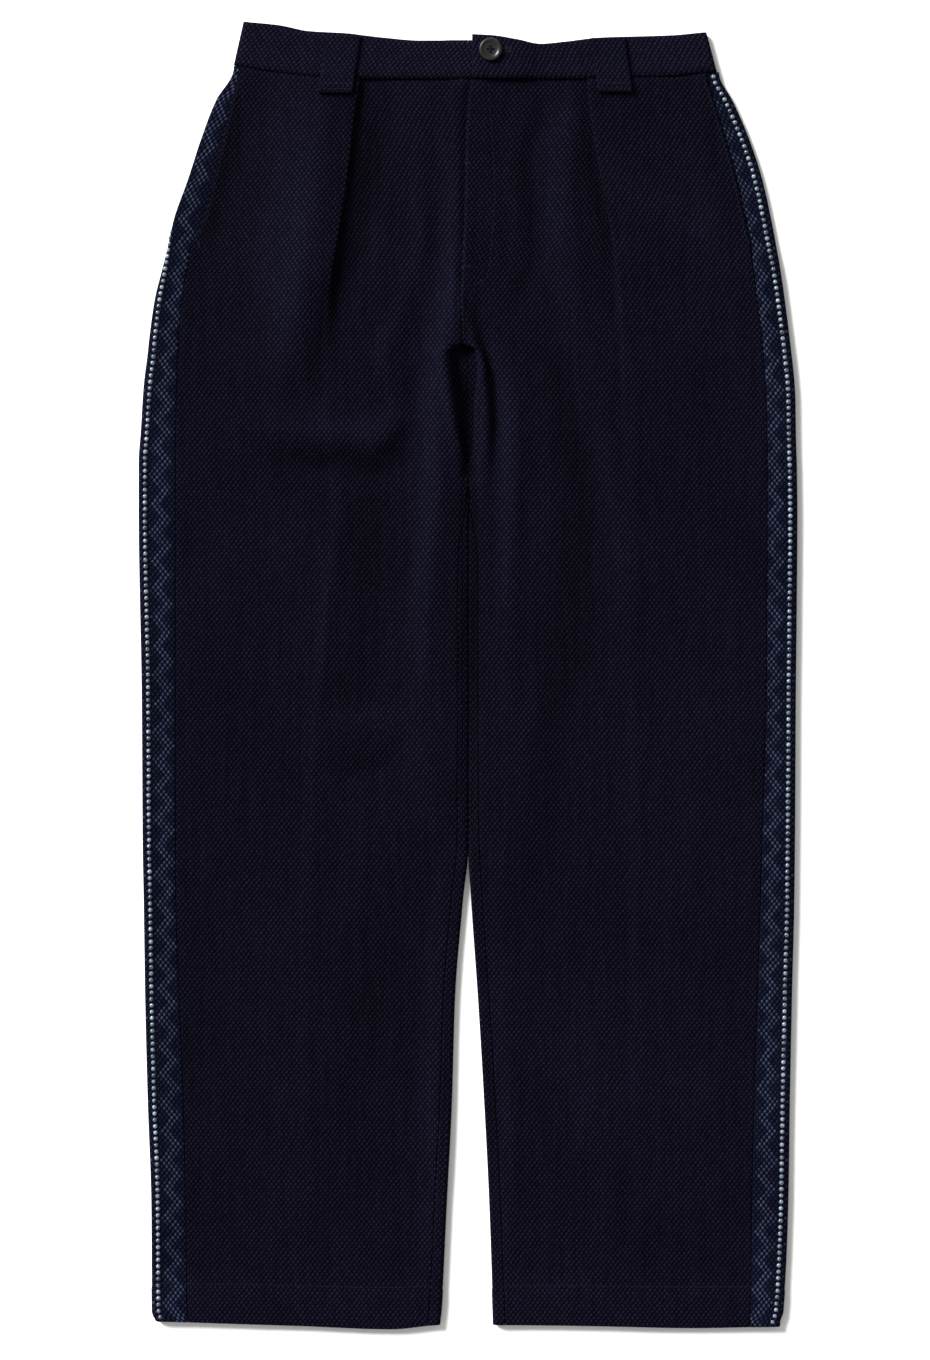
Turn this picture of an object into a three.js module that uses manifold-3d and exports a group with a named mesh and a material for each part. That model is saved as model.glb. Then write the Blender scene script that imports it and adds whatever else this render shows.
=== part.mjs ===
// Fireman trousers of heavy sashiko-woven cotton, laid flat on a surface with the front up.
// +X is the wearer's left, +Y points to the waist and +Z up from the surface, in millimetres.
// The origin is the middle of the outline, on the surface.
import * as THREE from 'three'
import { mergeVertices } from 'three/addons/utils/BufferGeometryUtils.js'
import Module from 'manifold-3d'

const wasm = await Module()
wasm.setup()

// Cloth and seams
const CLOTH = 1.6
const SEAM_GAP = 0.3
const HALF = CLOTH / 2
const LAYER = CLOTH + SEAM_GAP
const FLOOR_MID = HALF

// Turned-up hem
const HEM_EDGE = -510
const HEM_FOLD_TOP = -480
const HEM_CLOTH = 2.7
const HEM_SAG_START = -440

// Crotch, where the inseams meet
const CROTCH_ROLLED = 258
const CROTCH_FOOT = 165
const CENTRE_BACK = 0.2
const INSEAM_GAP = 0.9

// Side bands, which wrap the side folds
const BAND_UNDER = 17
const SIDE_FALL = 24
const INNER_FALL = 14

// Slanted side pockets: the front's free edge lies over the band
const POCKET_FOOT = 341
const POCKET_DIP_START = 315
const POCKET_FULL = 360
const POCKET_UNDERLAP = 18

// Fly: the left front lies over the right one
const FLY_FOOT = 318
const FLY_DIP_START = 280
const FLY_FULL = 345
const FLY_UNDERLAP = 12
const FLY_STITCH = 28
const FLY_RAISE = 0.7

// Forward pleats: length of cloth in each turn, and how far the lifted layer takes to come down
const PLEAT_TURN = 1.1 * Math.PI
const PLEAT_FALL = 60
const PLEAT_LEAST = 3

// Waistband
const WAIST_SEAM = 470
const WAIST_GAP = 0.5
const WAIST_SAG_START = 405
const WAIST_CLOTH = 2.8
const WAIST_LEVEL = 6.2
const WAIST_UNDERLAP_END = 36
const WAIST_OVERLAP_END = 3.2
const WAIST_OVER_FADE = 60
const WAIST_PLEAT_RISE = 1
const WAIST_PLEAT_WIDTH = 22

// Belt loops
const LOOP_CLOTH = 1.8
const LOOP_GAP = 0.4
const BACK_LOOP_CLOTH = 1.4
const LOOP_LIFT = BACK_LOOP_CLOTH + SEAM_GAP

// Button
const BUTTON_RADIUS = 9
const BUTTON_HEIGHT = 3
const BUTTON_HOLE_RADIUS = 1.05
const BUTTON_HOLE_SPREAD = 2.1
const BUTTON_CENTRE = [17.7, 492.3]

// Plain outline of each leg: side fold, seam or pocket edge beside the band, and inner fold or fly edge
const RIGHT_LEG = table(['y', 'side', 'seam', 'inner'], [
  [-510, -246.2, -220.6, -22.1],
  [-503, -249.2, -221, -21.2],
  [-415, -250, -222.8, -16.6],
  [-336, -252.8, -224.4, -12.6],
  [-257, -254.8, -227.5, -10.3],
  [-178, -256, -230.3, -4],
  [-134, -256.8, -230.7, -0.1],
  [-20, -257.5, -230.7, -0.05],
  [138, -259.9, -230.7, -0.05],
  [167.5, -259.9, -230.7, -1.6],
  [190, -258.4, -230.5, -6.3],
  [228, -256, -229.6, -11.1],
  [254, -252.8, -228.7, -13.4],
  [262, -252, -228.4, -4.9],
  [296, -247.3, -225.2, -5.6],
  [321.5, -241, -221.2, -4.8],
  [340, -236.6, -217.4, -3.8],
  [359.5, -232.3, -208.6, -2.8],
  [391, -221.2, -200.7, -2.2],
  [422.7, -210.9, -193.6, -1.6],
  [454, -199.1, -186.4, 0],
  [481, -184.9, -180.9, 3.2],
])
const LEFT_LEG = table(['y', 'side', 'seam', 'inner'], [
  [-510, 246, 222.4, 19.8],
  [-503, 248.5, 222.8, 19.6],
  [-415, 252.8, 224, 16.6],
  [-336, 254, 225.9, 12.6],
  [-257, 255.6, 228.3, 7.9],
  [-178, 257.5, 230.7, 2.4],
  [-134, 258, 232, 0.5],
  [-20, 258.7, 235.4, 0.45],
  [138, 259.9, 236.2, 0.45],
  [167.5, 259.4, 236.2, 3.6],
  [190, 258.8, 235.9, 4.4],
  [220, 258.3, 235.4, 5.2],
  [242, 256.6, 233.8, 7.1],
  [256, 255, 232.8, 5],
  [262, 254.3, 232.4, -4.9],
  [296, 250, 228.2, -5.6],
  [321.5, 246.3, 225, -4.8],
  [343, 242.5, 222, -3.6],
  [359.5, 239.4, 218.4, -2.8],
  [391, 232.3, 211.7, -2.2],
  [422.7, 222, 203, -1.6],
  [454, 208.6, 193.6, 0],
  [475, 198.3, 188, 3.2],
])

// Height of the front's middle surface over the floor, in the middle of a leg and at its two folds
const LEVEL = table(['y', 'middle', 'side', 'inner'], [
  [-516, 5.6, 6.2, 5.8],
  [-484, 5.6, 6.2, 5.8],
  [-466, 4.3, 6.1, 5.1],
  [-200, 4.1, 6, 5],
  [0, 4.3, 6.2, 5.2],
  [150, 4.6, 6.4, 5.4],
  [200, 4.8, 6.4, 6],
  [262, 5.2, 6.4, 6.8],
  [340, 4.9, 6.4, 6],
  [470, 4.6, 6.3, 5.2],
])

// Where the inseam lies: degrees round the inner fold from its top, or millimetres back along the top
const INSEAM = table(['y', 'turn', 'inset'], [
  [70, 0, 6.2],
  [100, 0, 5.4],
  [122, 0, 1.6],
  [132, 0, 0],
  [146, 45, 0],
  [158, 88, 0],
  [165, 90, 0],
])

// Forward pleats: how much cloth is tucked under the fold edge, and how far it turns
const PLEAT = table(['y', 'tuck', 'turn'], [
  [-510, 20, 0.1],
  [-60, 20, 0.5],
  [100, 20, 1.2],
  [180, 18, 2.2],
  [225, 14, 4.5],
  [262, 8, 11],
  [285, 3, 28],
  [305, 0.6, 70],
  [322, 0.4, 130],
  [344, 3, 180],
  [375, 8, 180],
  [415, 14, 180],
  [470, 22, 180],
])
const PLEAT_LINE = table(['y', 'right', 'left'], [
  [-510, -116, 124],
  [-70, -113, 121],
  [100, -107, 120],
  [200, -105, 121],
  [270, -107, 120],
  [307, -106.6, 117],
  [344, -101.8, 113.2],
  [375, -96.8, 107.8],
  [415, -91.8, 100.4],
  [447, -88, 95.8],
  [470, -85, 93.8],
])

// Largest folds and gathers in the fronts: points of each crest or trough as x, y and rise
const FOLDS = [
  { name: 'right inner thigh ridge', width: 8, path: [[-23, 312, 0], [-29, 254, 1.8], [-28, 215, 2.3],
    [-33, 171, 2.3], [-39, 115, 1.5], [-43, 15, 0]] },
  { name: 'right knee swell', width: 19, path: [[-37, 72, 0], [-38, 15, 0.7], [-39, -45, 0.7],
    [-42, -110, 0]] },
  { name: 'right thigh trough', width: 17, path: [[-46, 158, 0], [-72, 164, -1], [-110, 171, -1.1],
    [-160, 176, 0]] },
  { name: 'right fly rise', width: 12, path: [[-15, 462, 0], [-16, 400, 0.8], [-17, 320, 0.9],
    [-20, 268, 0]] },
  { name: 'right pleat bed', width: 26, path: [[-88, 480, -1.7], [-95, 400, -1.2], [-104, 330, 0]] },
  { name: 'right hip swell', width: 22, path: [[-132, 400, 0], [-140, 350, 0.8], [-146, 290, 0.6],
    [-148, 230, 0]] },
  { name: 'right leg crease', width: 10, path: [[-106, 290, 0], [-105, 190, 0.7], [-109, 60, 0.5],
    [-113, -80, 0]] },
  { name: 'right shin trough', width: 22, path: [[-60, -150, 0], [-80, -230, -0.5], [-96, -330, 0]] },
  { name: 'left inner valley', width: 6, path: [[3, 290, 0], [13, 255, -1.3], [20, 232, -1.9],
    [21.5, 205, -1.9], [21, 178, -1], [21, 150, 0]] },
  { name: 'left thigh ridge', width: 8, path: [[24, 268, 0], [31, 228, 1.6], [34, 195, 2.2], [32.5, 150, 1.8],
    [30.5, 105, 1], [28, 35, 0]] },
  { name: 'left inner roll', width: 6, path: [[9, 240, 0], [11, 215, 0.9], [11, 170, 1], [11, 110, 0]] },
  { name: 'left pleat bed', width: 26, path: [[98, 480, -1.7], [105, 400, -1.2], [115, 330, 0]] },
  { name: 'left fly fold', width: 12, path: [[82, 455, 0], [86, 410, 0.5], [92, 350, 0.6], [99, 300, 0]] },
  { name: 'left leg crease', width: 10, path: [[122, 295, 0], [121, 190, 0.7], [120, 60, 0.4],
    [121, -60, 0]] },
  { name: 'left hip swell', width: 24, path: [[150, 390, 0], [160, 330, 0.7], [165, 250, 0.6],
    [168, 180, 0]] },
  { name: 'left knee trough', width: 24, path: [[70, 60, 0], [90, -10, -0.5], [100, -90, 0]] },
  { name: 'left shin swell', width: 22, path: [[70, -200, 0], [64, -290, 0.5], [62, -380, 0]] },
  { name: 'right crotch gather, low', width: 5, path: [[-9, 268, 0], [-20, 276, 1.1], [-44, 292, 0.6],
    [-66, 300, 0]] },
  { name: 'right crotch gather, high', width: 5, path: [[-9, 276, 0], [-17, 296, 0.9], [-28, 330, 0]] },
  { name: 'left crotch gather, low', width: 5, path: [[2, 268, 0], [14, 276, 1], [38, 288, 0.5],
    [58, 292, 0]] },
  { name: 'left crotch gather, high', width: 5, path: [[0, 276, 0], [11, 298, 0.9], [22, 332, 0]] },
]

// Hem edges of the two legs
const HEM = table(['x', 'y'], [
  [-250, -510],
  [-176, -512],
  [-129, -513.5],
  [-60, -515.9],
  [-22, -512.7],
  [29, -512.7],
  [100, -513.5],
  [178, -515],
  [243, -514],
])

// Waistband edges: its lower seam, and its top edge in front and behind
const RIGHT_WAIST = table(['x', 'front', 'back'], [
  [-186, 515.9, 515.9],
  [-152, 511, 513.5],
  [-123, 506, 508],
  [-95, 504.4, 506.4],
  [-66, 501.7, 503.2],
  [-38, 499.3, 501],
  [0, 498.9, 501],
])
const LEFT_WAIST = table(['x', 'front', 'back'], [
  [0, 504.8, 501],
  [19, 504, 500.5],
  [38, 501, 499.5],
  [57, 497.7, 498],
  [76, 499.3, 499.5],
  [104, 502.4, 502.5],
  [161, 504.4, 505],
  [197, 507.2, 507.2],
])

// Lower seam of the waistband, straight between these places across it
const WAIST_SEAM_LINE = table(['across', 'right', 'left'], [
  [85, 470, 470],
  [122, 471.4, 470.3],
  [160, 476.4, 471.8],
  [197, 484, 476.2],
])

// Section up the waistband: part of its height, thickness and lift of its middle
const WAIST_SECTION = table(['part', 'cloth', 'lift'], [
  [0, 1.7, -0.5],
  [0.1, 2.6, -0.1],
  [0.26, 2.8, 0],
  [0.6, 2.8, 0],
  [0.9, 2.6, -0.1],
  [1, 1.7, -0.4],
])

// Places across the waistband, from the middle outwards: on the floor with the lift over each loop,
// and on top, with the places of the seam line among them
const WAIST_BACK = table(['across', 'lift'], [
  [14.2, LOOP_LIFT],
  [21, 0],
  [85, 0],
  [92, LOOP_LIFT],
  [122, LOOP_LIFT],
  [129, 0],
  [160, 0],
])
const WAIST_FRONT = [160, 141, 122, 110, 98, 85, 70, 58, 48, 38, 22]
const BACK_PLACES = [85, 122, 160]

// Rows up the legs
const ROWS = [-510, -503, -484, -476, -420, -360, -300, -240, -180, -120, -60, -10, 35, 72, 102, 122,
  134, 146, 158, 170, 190, 212, 235, 249, 258, 264, 278, 296, 318, 340, 362, 390, 418, 446, 470]

const RIGHT = { name: 'right', sign: -1, outline: RIGHT_LEG, waist: RIGHT_WAIST, waistSide: [-184.9, -177.2] }
const LEFT = { name: 'left', sign: 1, outline: LEFT_LEG, waist: LEFT_WAIST, waistSide: [196.4, 188.2] }

function table(names, rows) {
  return { names, rows }
}

// A column of a table at a place between its rows, on a curve that never overshoots them
function read({ names, rows }, name, at) {
  const column = names.indexOf(name)
  const last = rows.length - 1
  if (at <= rows[0][0]) return rows[0][column]
  if (at >= rows[last][0]) return rows[last][column]
  let i = 0
  while (at > rows[i + 1][0]) i += 1
  const step = rows[i + 1][0] - rows[i][0]
  const slope = (k) => (rows[k + 1][column] - rows[k][column]) / (rows[k + 1][0] - rows[k][0])
  const tangent = (k) => {
    if (k === 0 || k === last) return 0
    const before = slope(k - 1)
    const after = slope(k)
    return before * after <= 0 ? 0 : (2 * before * after) / (before + after)
  }
  const t = (at - rows[i][0]) / step
  const start = rows[i][column] * (1 + 2 * t) * (1 - t) ** 2 + tangent(i) * step * t * (1 - t) ** 2
  const end = rows[i + 1][column] * (3 - 2 * t) * t ** 2 - tangent(i + 1) * step * t ** 2 * (1 - t)
  return start + end
}

// The same on straight lines
function readStraight({ names, rows }, name, at) {
  const column = names.indexOf(name)
  if (at <= rows[0][0]) return rows[0][column]
  let i = 0
  while (i < rows.length - 2 && at > rows[i + 1][0]) i += 1
  return mix(rows[i][column], rows[i + 1][column], (at - rows[i][0]) / (rows[i + 1][0] - rows[i][0]))
}

function mix(a, b, t) {
  return a + (b - a) * t
}

function ease(from, to, at) {
  const t = Math.min(1, Math.max(0, (at - from) / (to - from)))
  return t * t * (3 - 2 * t)
}

// Rise of all the folds at a point of the fronts
function foldRise(x, y) {
  let total = 0
  for (const { width, path } of FOLDS) {
    let nearest = Infinity
    let rise = 0
    for (let i = 1; i < path.length; i += 1) {
      const [x0, y0, rise0] = path[i - 1]
      const [x1, y1, rise1] = path[i]
      const dx = x1 - x0
      const dy = y1 - y0
      const along = Math.min(1, Math.max(0, ((x - x0) * dx + (y - y0) * dy) / (dx * dx + dy * dy)))
      const distance = Math.hypot(x - x0 - along * dx, y - y0 - along * dy)
      if (distance < nearest) {
        nearest = distance
        rise = mix(rise0, rise1, along)
      }
    }
    total += rise * Math.exp(-((nearest / width) ** 2))
  }
  return total
}

function waistSeam(leg, x) {
  return readStraight(WAIST_SEAM_LINE, leg.name, leg.sign * x)
}

// How far a point is moved along the leg so that the hem and the waist seam follow their edges
function sag(leg, x, y) {
  const hem = (read(HEM, 'y', x) - HEM_EDGE) * ease(HEM_SAG_START, HEM_EDGE, y)
  const waist = (waistSeam(leg, x) - WAIST_SEAM) * ease(WAIST_SAG_START, WAIST_SEAM, y)
  return hem + waist
}

// The outline of a leg at one row, measured outwards from the middle
function outlineAt(leg, y) {
  const edge = (name) => {
    const first = read(leg.outline, name, y)
    return leg.sign * read(leg.outline, name, y + sag(leg, first, y))
  }
  return { side: edge('side'), seam: edge('seam'), inner: edge('inner') }
}

// Middle surface of the top layer without the pleat, at a distance outwards from the middle
function bedAt(leg, y, outline, across) {
  const middle = read(LEVEL, 'middle', y)
  const atSide = read(LEVEL, 'side', y) - middle
  const atInner = read(LEVEL, 'inner', y) - middle
  const side = atSide * Math.exp(-(((across - outline.side) / SIDE_FALL) ** 2))
  const inner = atInner * Math.exp(-(((across - outline.inner) / INNER_FALL) ** 2))
  return middle + side + inner + foldRise(leg.sign * across, y)
}

function pleatAt(leg, y) {
  const turn = THREE.MathUtils.degToRad(read(PLEAT, 'turn', y))
  const tuck = read(PLEAT, 'tuck', y)
  const radius = PLEAT_TURN / turn
  const line = leg.sign * read(PLEAT_LINE, leg.name, y)
  return {
    turn,
    tuck,
    radius,
    start: line + HALF + radius * Math.sin(Math.min(turn, Math.PI / 2)),
    drop: 2 * radius * (1 - Math.cos(turn)) + tuck * Math.sin(turn),
  }
}

function pleatLift(pleat, across) {
  const flat = pleat.start + pleat.tuck
  return across < pleat.start ? 0 : pleat.drop * (1 - ease(flat, flat + PLEAT_FALL, across))
}

// Top layer of a leg, with the pleat's lifted side
function topAt(leg, y, outline, across) {
  return bedAt(leg, y, outline, across) + pleatLift(pleatAt(leg, y), across)
}

// The rounded fold on the inner side of a leg
function innerFold(leg, y, outline) {
  const top = bedAt(leg, y, outline, outline.inner + 3)
  const radius = (top - FLOOR_MID) / 2
  return { radius, top, tangent: outline.inner + HALF + radius }
}

// Length of a path of [across, z] points, and points at given lengths along it
function lengths(path) {
  const sums = [0]
  for (let i = 1; i < path.length; i += 1) {
    sums.push(sums[i - 1] + Math.hypot(path[i][0] - path[i - 1][0], path[i][1] - path[i - 1][1]))
  }
  return sums
}

function pointsAt(path, places) {
  const sums = lengths(path)
  return places.map((place) => {
    let i = 0
    while (i < path.length - 2 && place > sums[i + 1]) i += 1
    const t = (place - sums[i]) / (sums[i + 1] - sums[i])
    return [mix(path[i][0], path[i + 1][0], t), mix(path[i][1], path[i + 1][1], t)]
  })
}

function straight(from, to, count, height) {
  return Array.from({ length: count + 1 }, (_, i) => {
    const across = mix(from, to, i / count)
    return [across, height(across)]
  })
}

function arc(centre, radius, from, to, count) {
  return Array.from({ length: count + 1 }, (_, i) => {
    const angle = THREE.MathUtils.degToRad(mix(from, to, i / count))
    return [centre[0] + radius * Math.cos(angle), centre[1] + radius * Math.sin(angle)]
  })
}

// The front from its seam or pocket edge, over the pleat, to the fly edge or inseam
function frontPath(leg, y) {
  const outline = outlineAt(leg, y)
  const pleat = pleatAt(leg, y)
  const bed = (across) => bedAt(leg, y, outline, across)
  const edge = outline.seam - (y < POCKET_FOOT ? SEAM_GAP / 2 : 0)
  const flat = pleat.start + Math.max(pleat.tuck, PLEAT_LEAST)
  const path = straight(edge, flat, 4, (across) => bed(across) + pleatLift(pleat, across))
  path.push([pleat.start, bed(pleat.start) + pleat.drop])
  const turned = (share, across, down) => path.push([across(pleat.turn * share), down(pleat.turn * share)])
  const { radius, turn, tuck, start, drop } = pleat
  for (const share of [1 / 3, 2 / 3, 1]) {
    turned(
      share,
      (angle) => start - radius * Math.sin(angle),
      (angle) => drop - radius * (1 - Math.cos(angle)),
    )
  }
  const across = start - radius * Math.sin(turn) - tuck * Math.cos(turn)
  const down = drop - radius * (1 - Math.cos(turn)) - tuck * Math.sin(turn)
  for (const share of [1, 2 / 3, 1 / 3, 0]) {
    turned(
      share,
      (angle) => across - radius * (Math.sin(turn) - Math.sin(angle)),
      (angle) => down - radius * (Math.cos(angle) - Math.cos(turn)),
    )
  }
  const folded = path.slice(6).map(([a, z]) => [a, bed(a) + z])
  const beyond = folded[folded.length - 1][0] - Math.max(tuck, PLEAT_LEAST)
  const inner = pointsAt(...innerStretch(leg, y, outline, bed, beyond))
  return [...path.slice(0, 6), ...folded, ...inner]
}

// The front from beyond the pleat to its inner edge, as a fine path and the places wanted along it
function innerStretch(leg, y, outline, bed, beyond) {
  const stretch = y > CROTCH_ROLLED + 1 ? flyStretch : inseamStretch
  const path = stretch(leg, y, outline, bed, beyond)
  const sums = lengths(path)
  const total = sums[sums.length - 1]
  const fine = 3.6
  const places = []
  for (let i = 11; i >= 1; i -= 1) {
    places.push(total - fine - (total - fine) * (i / 11) ** 1.6)
  }
  return [path, [...places, total - fine, total - fine / 2, total]]
}

function flyStretch(leg, y, outline, bed, beyond) {
  const right = leg.sign < 0
  const underlap = FLY_UNDERLAP * ease(FLY_FOOT, FLY_FULL, y)
  const end = outline.inner + (right ? SEAM_GAP - underlap : 0)
  const dip = right ? LAYER * ease(FLY_DIP_START, FLY_FOOT, y) : 0
  const raise = right ? 0 : FLY_RAISE * ease(FLY_FOOT, FLY_FULL, y)
  return straight(beyond, end, 80, (across) => {
    const under = dip * ease(outline.inner + 9, outline.inner + 2, across)
    const over = raise * ease(outline.inner + FLY_STITCH + 5, outline.inner + FLY_STITCH - 4, across)
    return bed(across) - under + over
  })
}

function inseamStretch(leg, y, outline, bed, beyond) {
  const { radius, top, tangent } = innerFold(leg, y, outline)
  const blend = (across) => mix(top, bed(across), ease(tangent, tangent + 4, across))
  if (y > CROTCH_FOOT) {
    const path = straight(beyond, tangent, 80, blend)
    path.push(...arc([tangent, top - radius], radius, 90, 180, 8).slice(1))
    path.push([tangent - radius, LAYER])
    return path
  }
  const turn = read(INSEAM, 'turn', y)
  const inset = read(INSEAM, 'inset', y) + SEAM_GAP / 2
  if (turn < 1) return straight(beyond, tangent + inset, 80, blend)
  const gapTurn = THREE.MathUtils.radToDeg(INSEAM_GAP / 2 / radius)
  const path = straight(beyond, tangent, 80, blend)
  path.push(...arc([tangent, top - radius], radius, 90, 90 + turn - gapTurn, 8).slice(1))
  return path
}

// The back from the inseam or centre back seam, along the floor, to the band's seam
function backPath(leg, y) {
  const outline = outlineAt(leg, y)
  const bed = (across) => bedAt(leg, y, outline, across)
  const { radius, top, tangent } = innerFold(leg, y, outline)
  const end = outline.side - BAND_UNDER - SEAM_GAP / 2
  const flat = (from, to, count) => straight(from, to, count, () => FLOOR_MID)
  const floor = [...BACK_PLACES, end].map((across) => [across, FLOOR_MID])
  if (y > CROTCH_FOOT) {
    const centre = leg.sign * CENTRE_BACK + SEAM_GAP / 2
    const spread = Math.max(tangent, centre + 4)
    return [...flat(centre, spread, 7), ...floor]
  }
  const turn = read(INSEAM, 'turn', y)
  const inset = read(INSEAM, 'inset', y) - SEAM_GAP / 2
  const gapTurn = THREE.MathUtils.radToDeg(INSEAM_GAP / 2 / radius)
  const blend = (across) => mix(top, bed(across), ease(tangent, tangent + 4, across))
  const centre = [tangent, top - radius]
  const overTop = turn < 1 && inset > 0.2
  const round = arc(centre, radius, overTop ? 90 : 90 + turn + gapTurn, 270, 24)
  if (overTop) round.unshift(...straight(tangent + inset, tangent, 12, blend).slice(0, -1))
  const sums = lengths(round)
  const total = sums[sums.length - 1]
  const places = Array.from({ length: 8 }, (_, i) => (total * i) / 7)
  return [...pointsAt(round, places), ...floor]
}

// The side band from its back seam, round the side fold, to its front seam or its edge under the pocket
function bandPath(leg, y) {
  const outline = outlineAt(leg, y)
  const dip = LAYER * ease(POCKET_DIP_START, POCKET_FOOT, y)
  const top = (across) => topAt(leg, y, outline, across) - dip
  const radius = (top(outline.side - 3.5) - FLOOR_MID) / 2
  const tangent = outline.side - HALF - radius
  const underlap = POCKET_UNDERLAP * ease(POCKET_FOOT, POCKET_FULL, y)
  const edge = outline.seam + SEAM_GAP / 2 - underlap
  const crown = top(outline.side - 3.5)
  const blend = (across) => mix(crown, top(across), ease(tangent, tangent - 4, across))
  return [
    [outline.side - BAND_UNDER + SEAM_GAP / 2, FLOOR_MID],
    ...arc([tangent, FLOOR_MID + radius], radius, -90, 90, 6),
    ...straight(tangent, edge, 4, blend).slice(1),
  ]
}

// A closed wall through sections, each a path of [across, z] points with the cloth on both sides of it
function wall(name, colour, leg, sections) {
  const rings = sections.map(({ path, along, outside, inside }) => {
    const side = (distance) => offset(path, distance).map(([across, z], i) => {
      const x = leg.sign * across
      return [x, along(leg.sign * path[i][0], i), z]
    })
    return [side(outside), side(-inside)]
  })
  const columns = rings[0][0].length
  const positions = rings.flatMap(([outer, inner]) => [...outer, ...inner]).flat()
  const at = (row, face, column) => (row * 2 + face) * columns + column
  const triangles = []
  const quad = (a, b, c, d) => triangles.push(a, b, c, a, c, d)
  for (let row = 0; row < rings.length - 1; row += 1) {
    for (let column = 0; column < columns - 1; column += 1) {
      quad(at(row, 0, column), at(row, 0, column + 1), at(row + 1, 0, column + 1), at(row + 1, 0, column))
      quad(at(row, 1, column), at(row + 1, 1, column), at(row + 1, 1, column + 1), at(row, 1, column + 1))
    }
    const last = columns - 1
    quad(at(row, 0, 0), at(row + 1, 0, 0), at(row + 1, 1, 0), at(row, 1, 0))
    quad(at(row, 0, last), at(row, 1, last), at(row + 1, 1, last), at(row + 1, 0, last))
  }
  for (let column = 0; column < columns - 1; column += 1) {
    const last = rings.length - 1
    quad(at(0, 0, column), at(0, 1, column), at(0, 1, column + 1), at(0, 0, column + 1))
    quad(at(last, 0, column), at(last, 0, column + 1), at(last, 1, column + 1), at(last, 1, column))
  }
  const geometry = new THREE.BufferGeometry()
  geometry.setAttribute('position', new THREE.Float32BufferAttribute(positions, 3))
  geometry.setIndex(leg.sign > 0 ? triangles.reverse() : triangles)
  return mesh(name, colour, geometry)
}

// The path moved sideways by a distance, to its right as it runs, with mitred corners
function offset(path, distance) {
  const normals = path.slice(1).map(([a, z], i) => {
    const da = a - path[i][0]
    const dz = z - path[i][1]
    const length = Math.hypot(da, dz)
    return [dz / length, -da / length]
  })
  return path.map(([a, z], i) => {
    const before = normals[Math.max(0, i - 1)]
    const after = normals[Math.min(normals.length - 1, i)]
    const share = 1 + before[0] * after[0] + before[1] * after[1]
    return [a + (distance * (before[0] + after[0])) / share, z + (distance * (before[1] + after[1])) / share]
  })
}

function mesh(name, colour, geometry) {
  geometry.computeVertexNormals()
  const material = new THREE.MeshStandardMaterial({ color: colour, roughness: 0.9, metalness: 0 })
  const piece = new THREE.Mesh(geometry, material)
  piece.name = name
  return piece
}

// A leg's panel: the same rows for every panel, so that neighbours keep their seam gap
function panel(name, colour, leg, pathAt) {
  return wall(name, colour, leg, ROWS.map((y) => ({
    path: pathAt(leg, y),
    along: (x) => y + sag(leg, x, y) - (y === WAIST_SEAM ? WAIST_GAP : 0),
    outside: HALF,
    inside: mix(HEM_CLOTH, CLOTH, ease(HEM_FOLD_TOP - 4, HEM_FOLD_TOP + 4, y)) - HALF,
  })))
}

// Middle height of the front of the waistband
function waistLevel(leg, x) {
  const pleatX = read(PLEAT_LINE, leg.name, WAIST_SEAM) + leg.sign * 8
  const pleat = WAIST_PLEAT_RISE * Math.exp(-(((x - pleatX) / WAIST_PLEAT_WIDTH) ** 2))
  const over = leg.sign > 0 ? (WAIST_CLOTH + SEAM_GAP) * ease(WAIST_OVER_FADE, WAIST_UNDERLAP_END + 2, x) : 0
  return WAIST_LEVEL + pleat + over
}

function waistSide(leg, part) {
  return leg.sign * mix(leg.waistSide[0], leg.waistSide[1], part)
}

// The waistband from the centre back, round the side, to its end at the fly
function waistband(name, colour, leg) {
  const backMid = WAIST_CLOTH / 2
  const sections = WAIST_SECTION.rows.map(([part, cloth, lift]) => {
    const side = waistSide(leg, part)
    const sideLevel = waistLevel(leg, leg.sign * side) + lift
    const radius = (sideLevel - backMid) / 2
    const tangent = side - cloth / 2 - radius
    const start = leg.sign * CENTRE_BACK + SEAM_GAP / 2
    const end = leg.sign > 0 ? WAIST_OVERLAP_END : -WAIST_UNDERLAP_END
    const lifts = [[start, LOOP_LIFT], ...WAIST_BACK.rows]
    const back = lifts.map(([across, raised]) => [across, backMid + raised])
    const fore = leg.sign > 0 ? WAIST_FRONT : [...WAIST_FRONT, 8, -6, -20]
    const path = [
      ...back,
      ...arc([tangent, backMid + radius], radius, -90, 90, 5),
      ...[...fore, end].map((across) => [across, waistLevel(leg, leg.sign * across) + lift]),
    ]
    const turn = back.length + 2
    const along = (x, i) => {
      const top = read(leg.waist, i < turn ? 'back' : 'front', x)
      return mix(waistSeam(leg, x), top, part)
    }
    return { path, along, outside: cloth / 2, inside: cloth / 2 }
  })
  return wall(name, colour, leg, sections)
}

// Upper face of what a front loop lies on
function faceUnder(leg, x, y) {
  const seam = waistSeam(leg, x)
  const row = y - sag(leg, x, Math.min(y, WAIST_SEAM))
  const outline = outlineAt(leg, Math.min(row, WAIST_SEAM))
  const cloth = topAt(leg, Math.min(row, WAIST_SEAM), outline, leg.sign * x) + HALF
  const part = (y - seam) / (read(leg.waist, 'front', x) - seam)
  const band = waistLevel(leg, x) + read(WAIST_SECTION, 'lift', part) + read(WAIST_SECTION, 'cloth', part) / 2
  return y < seam ? cloth : band
}

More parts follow.
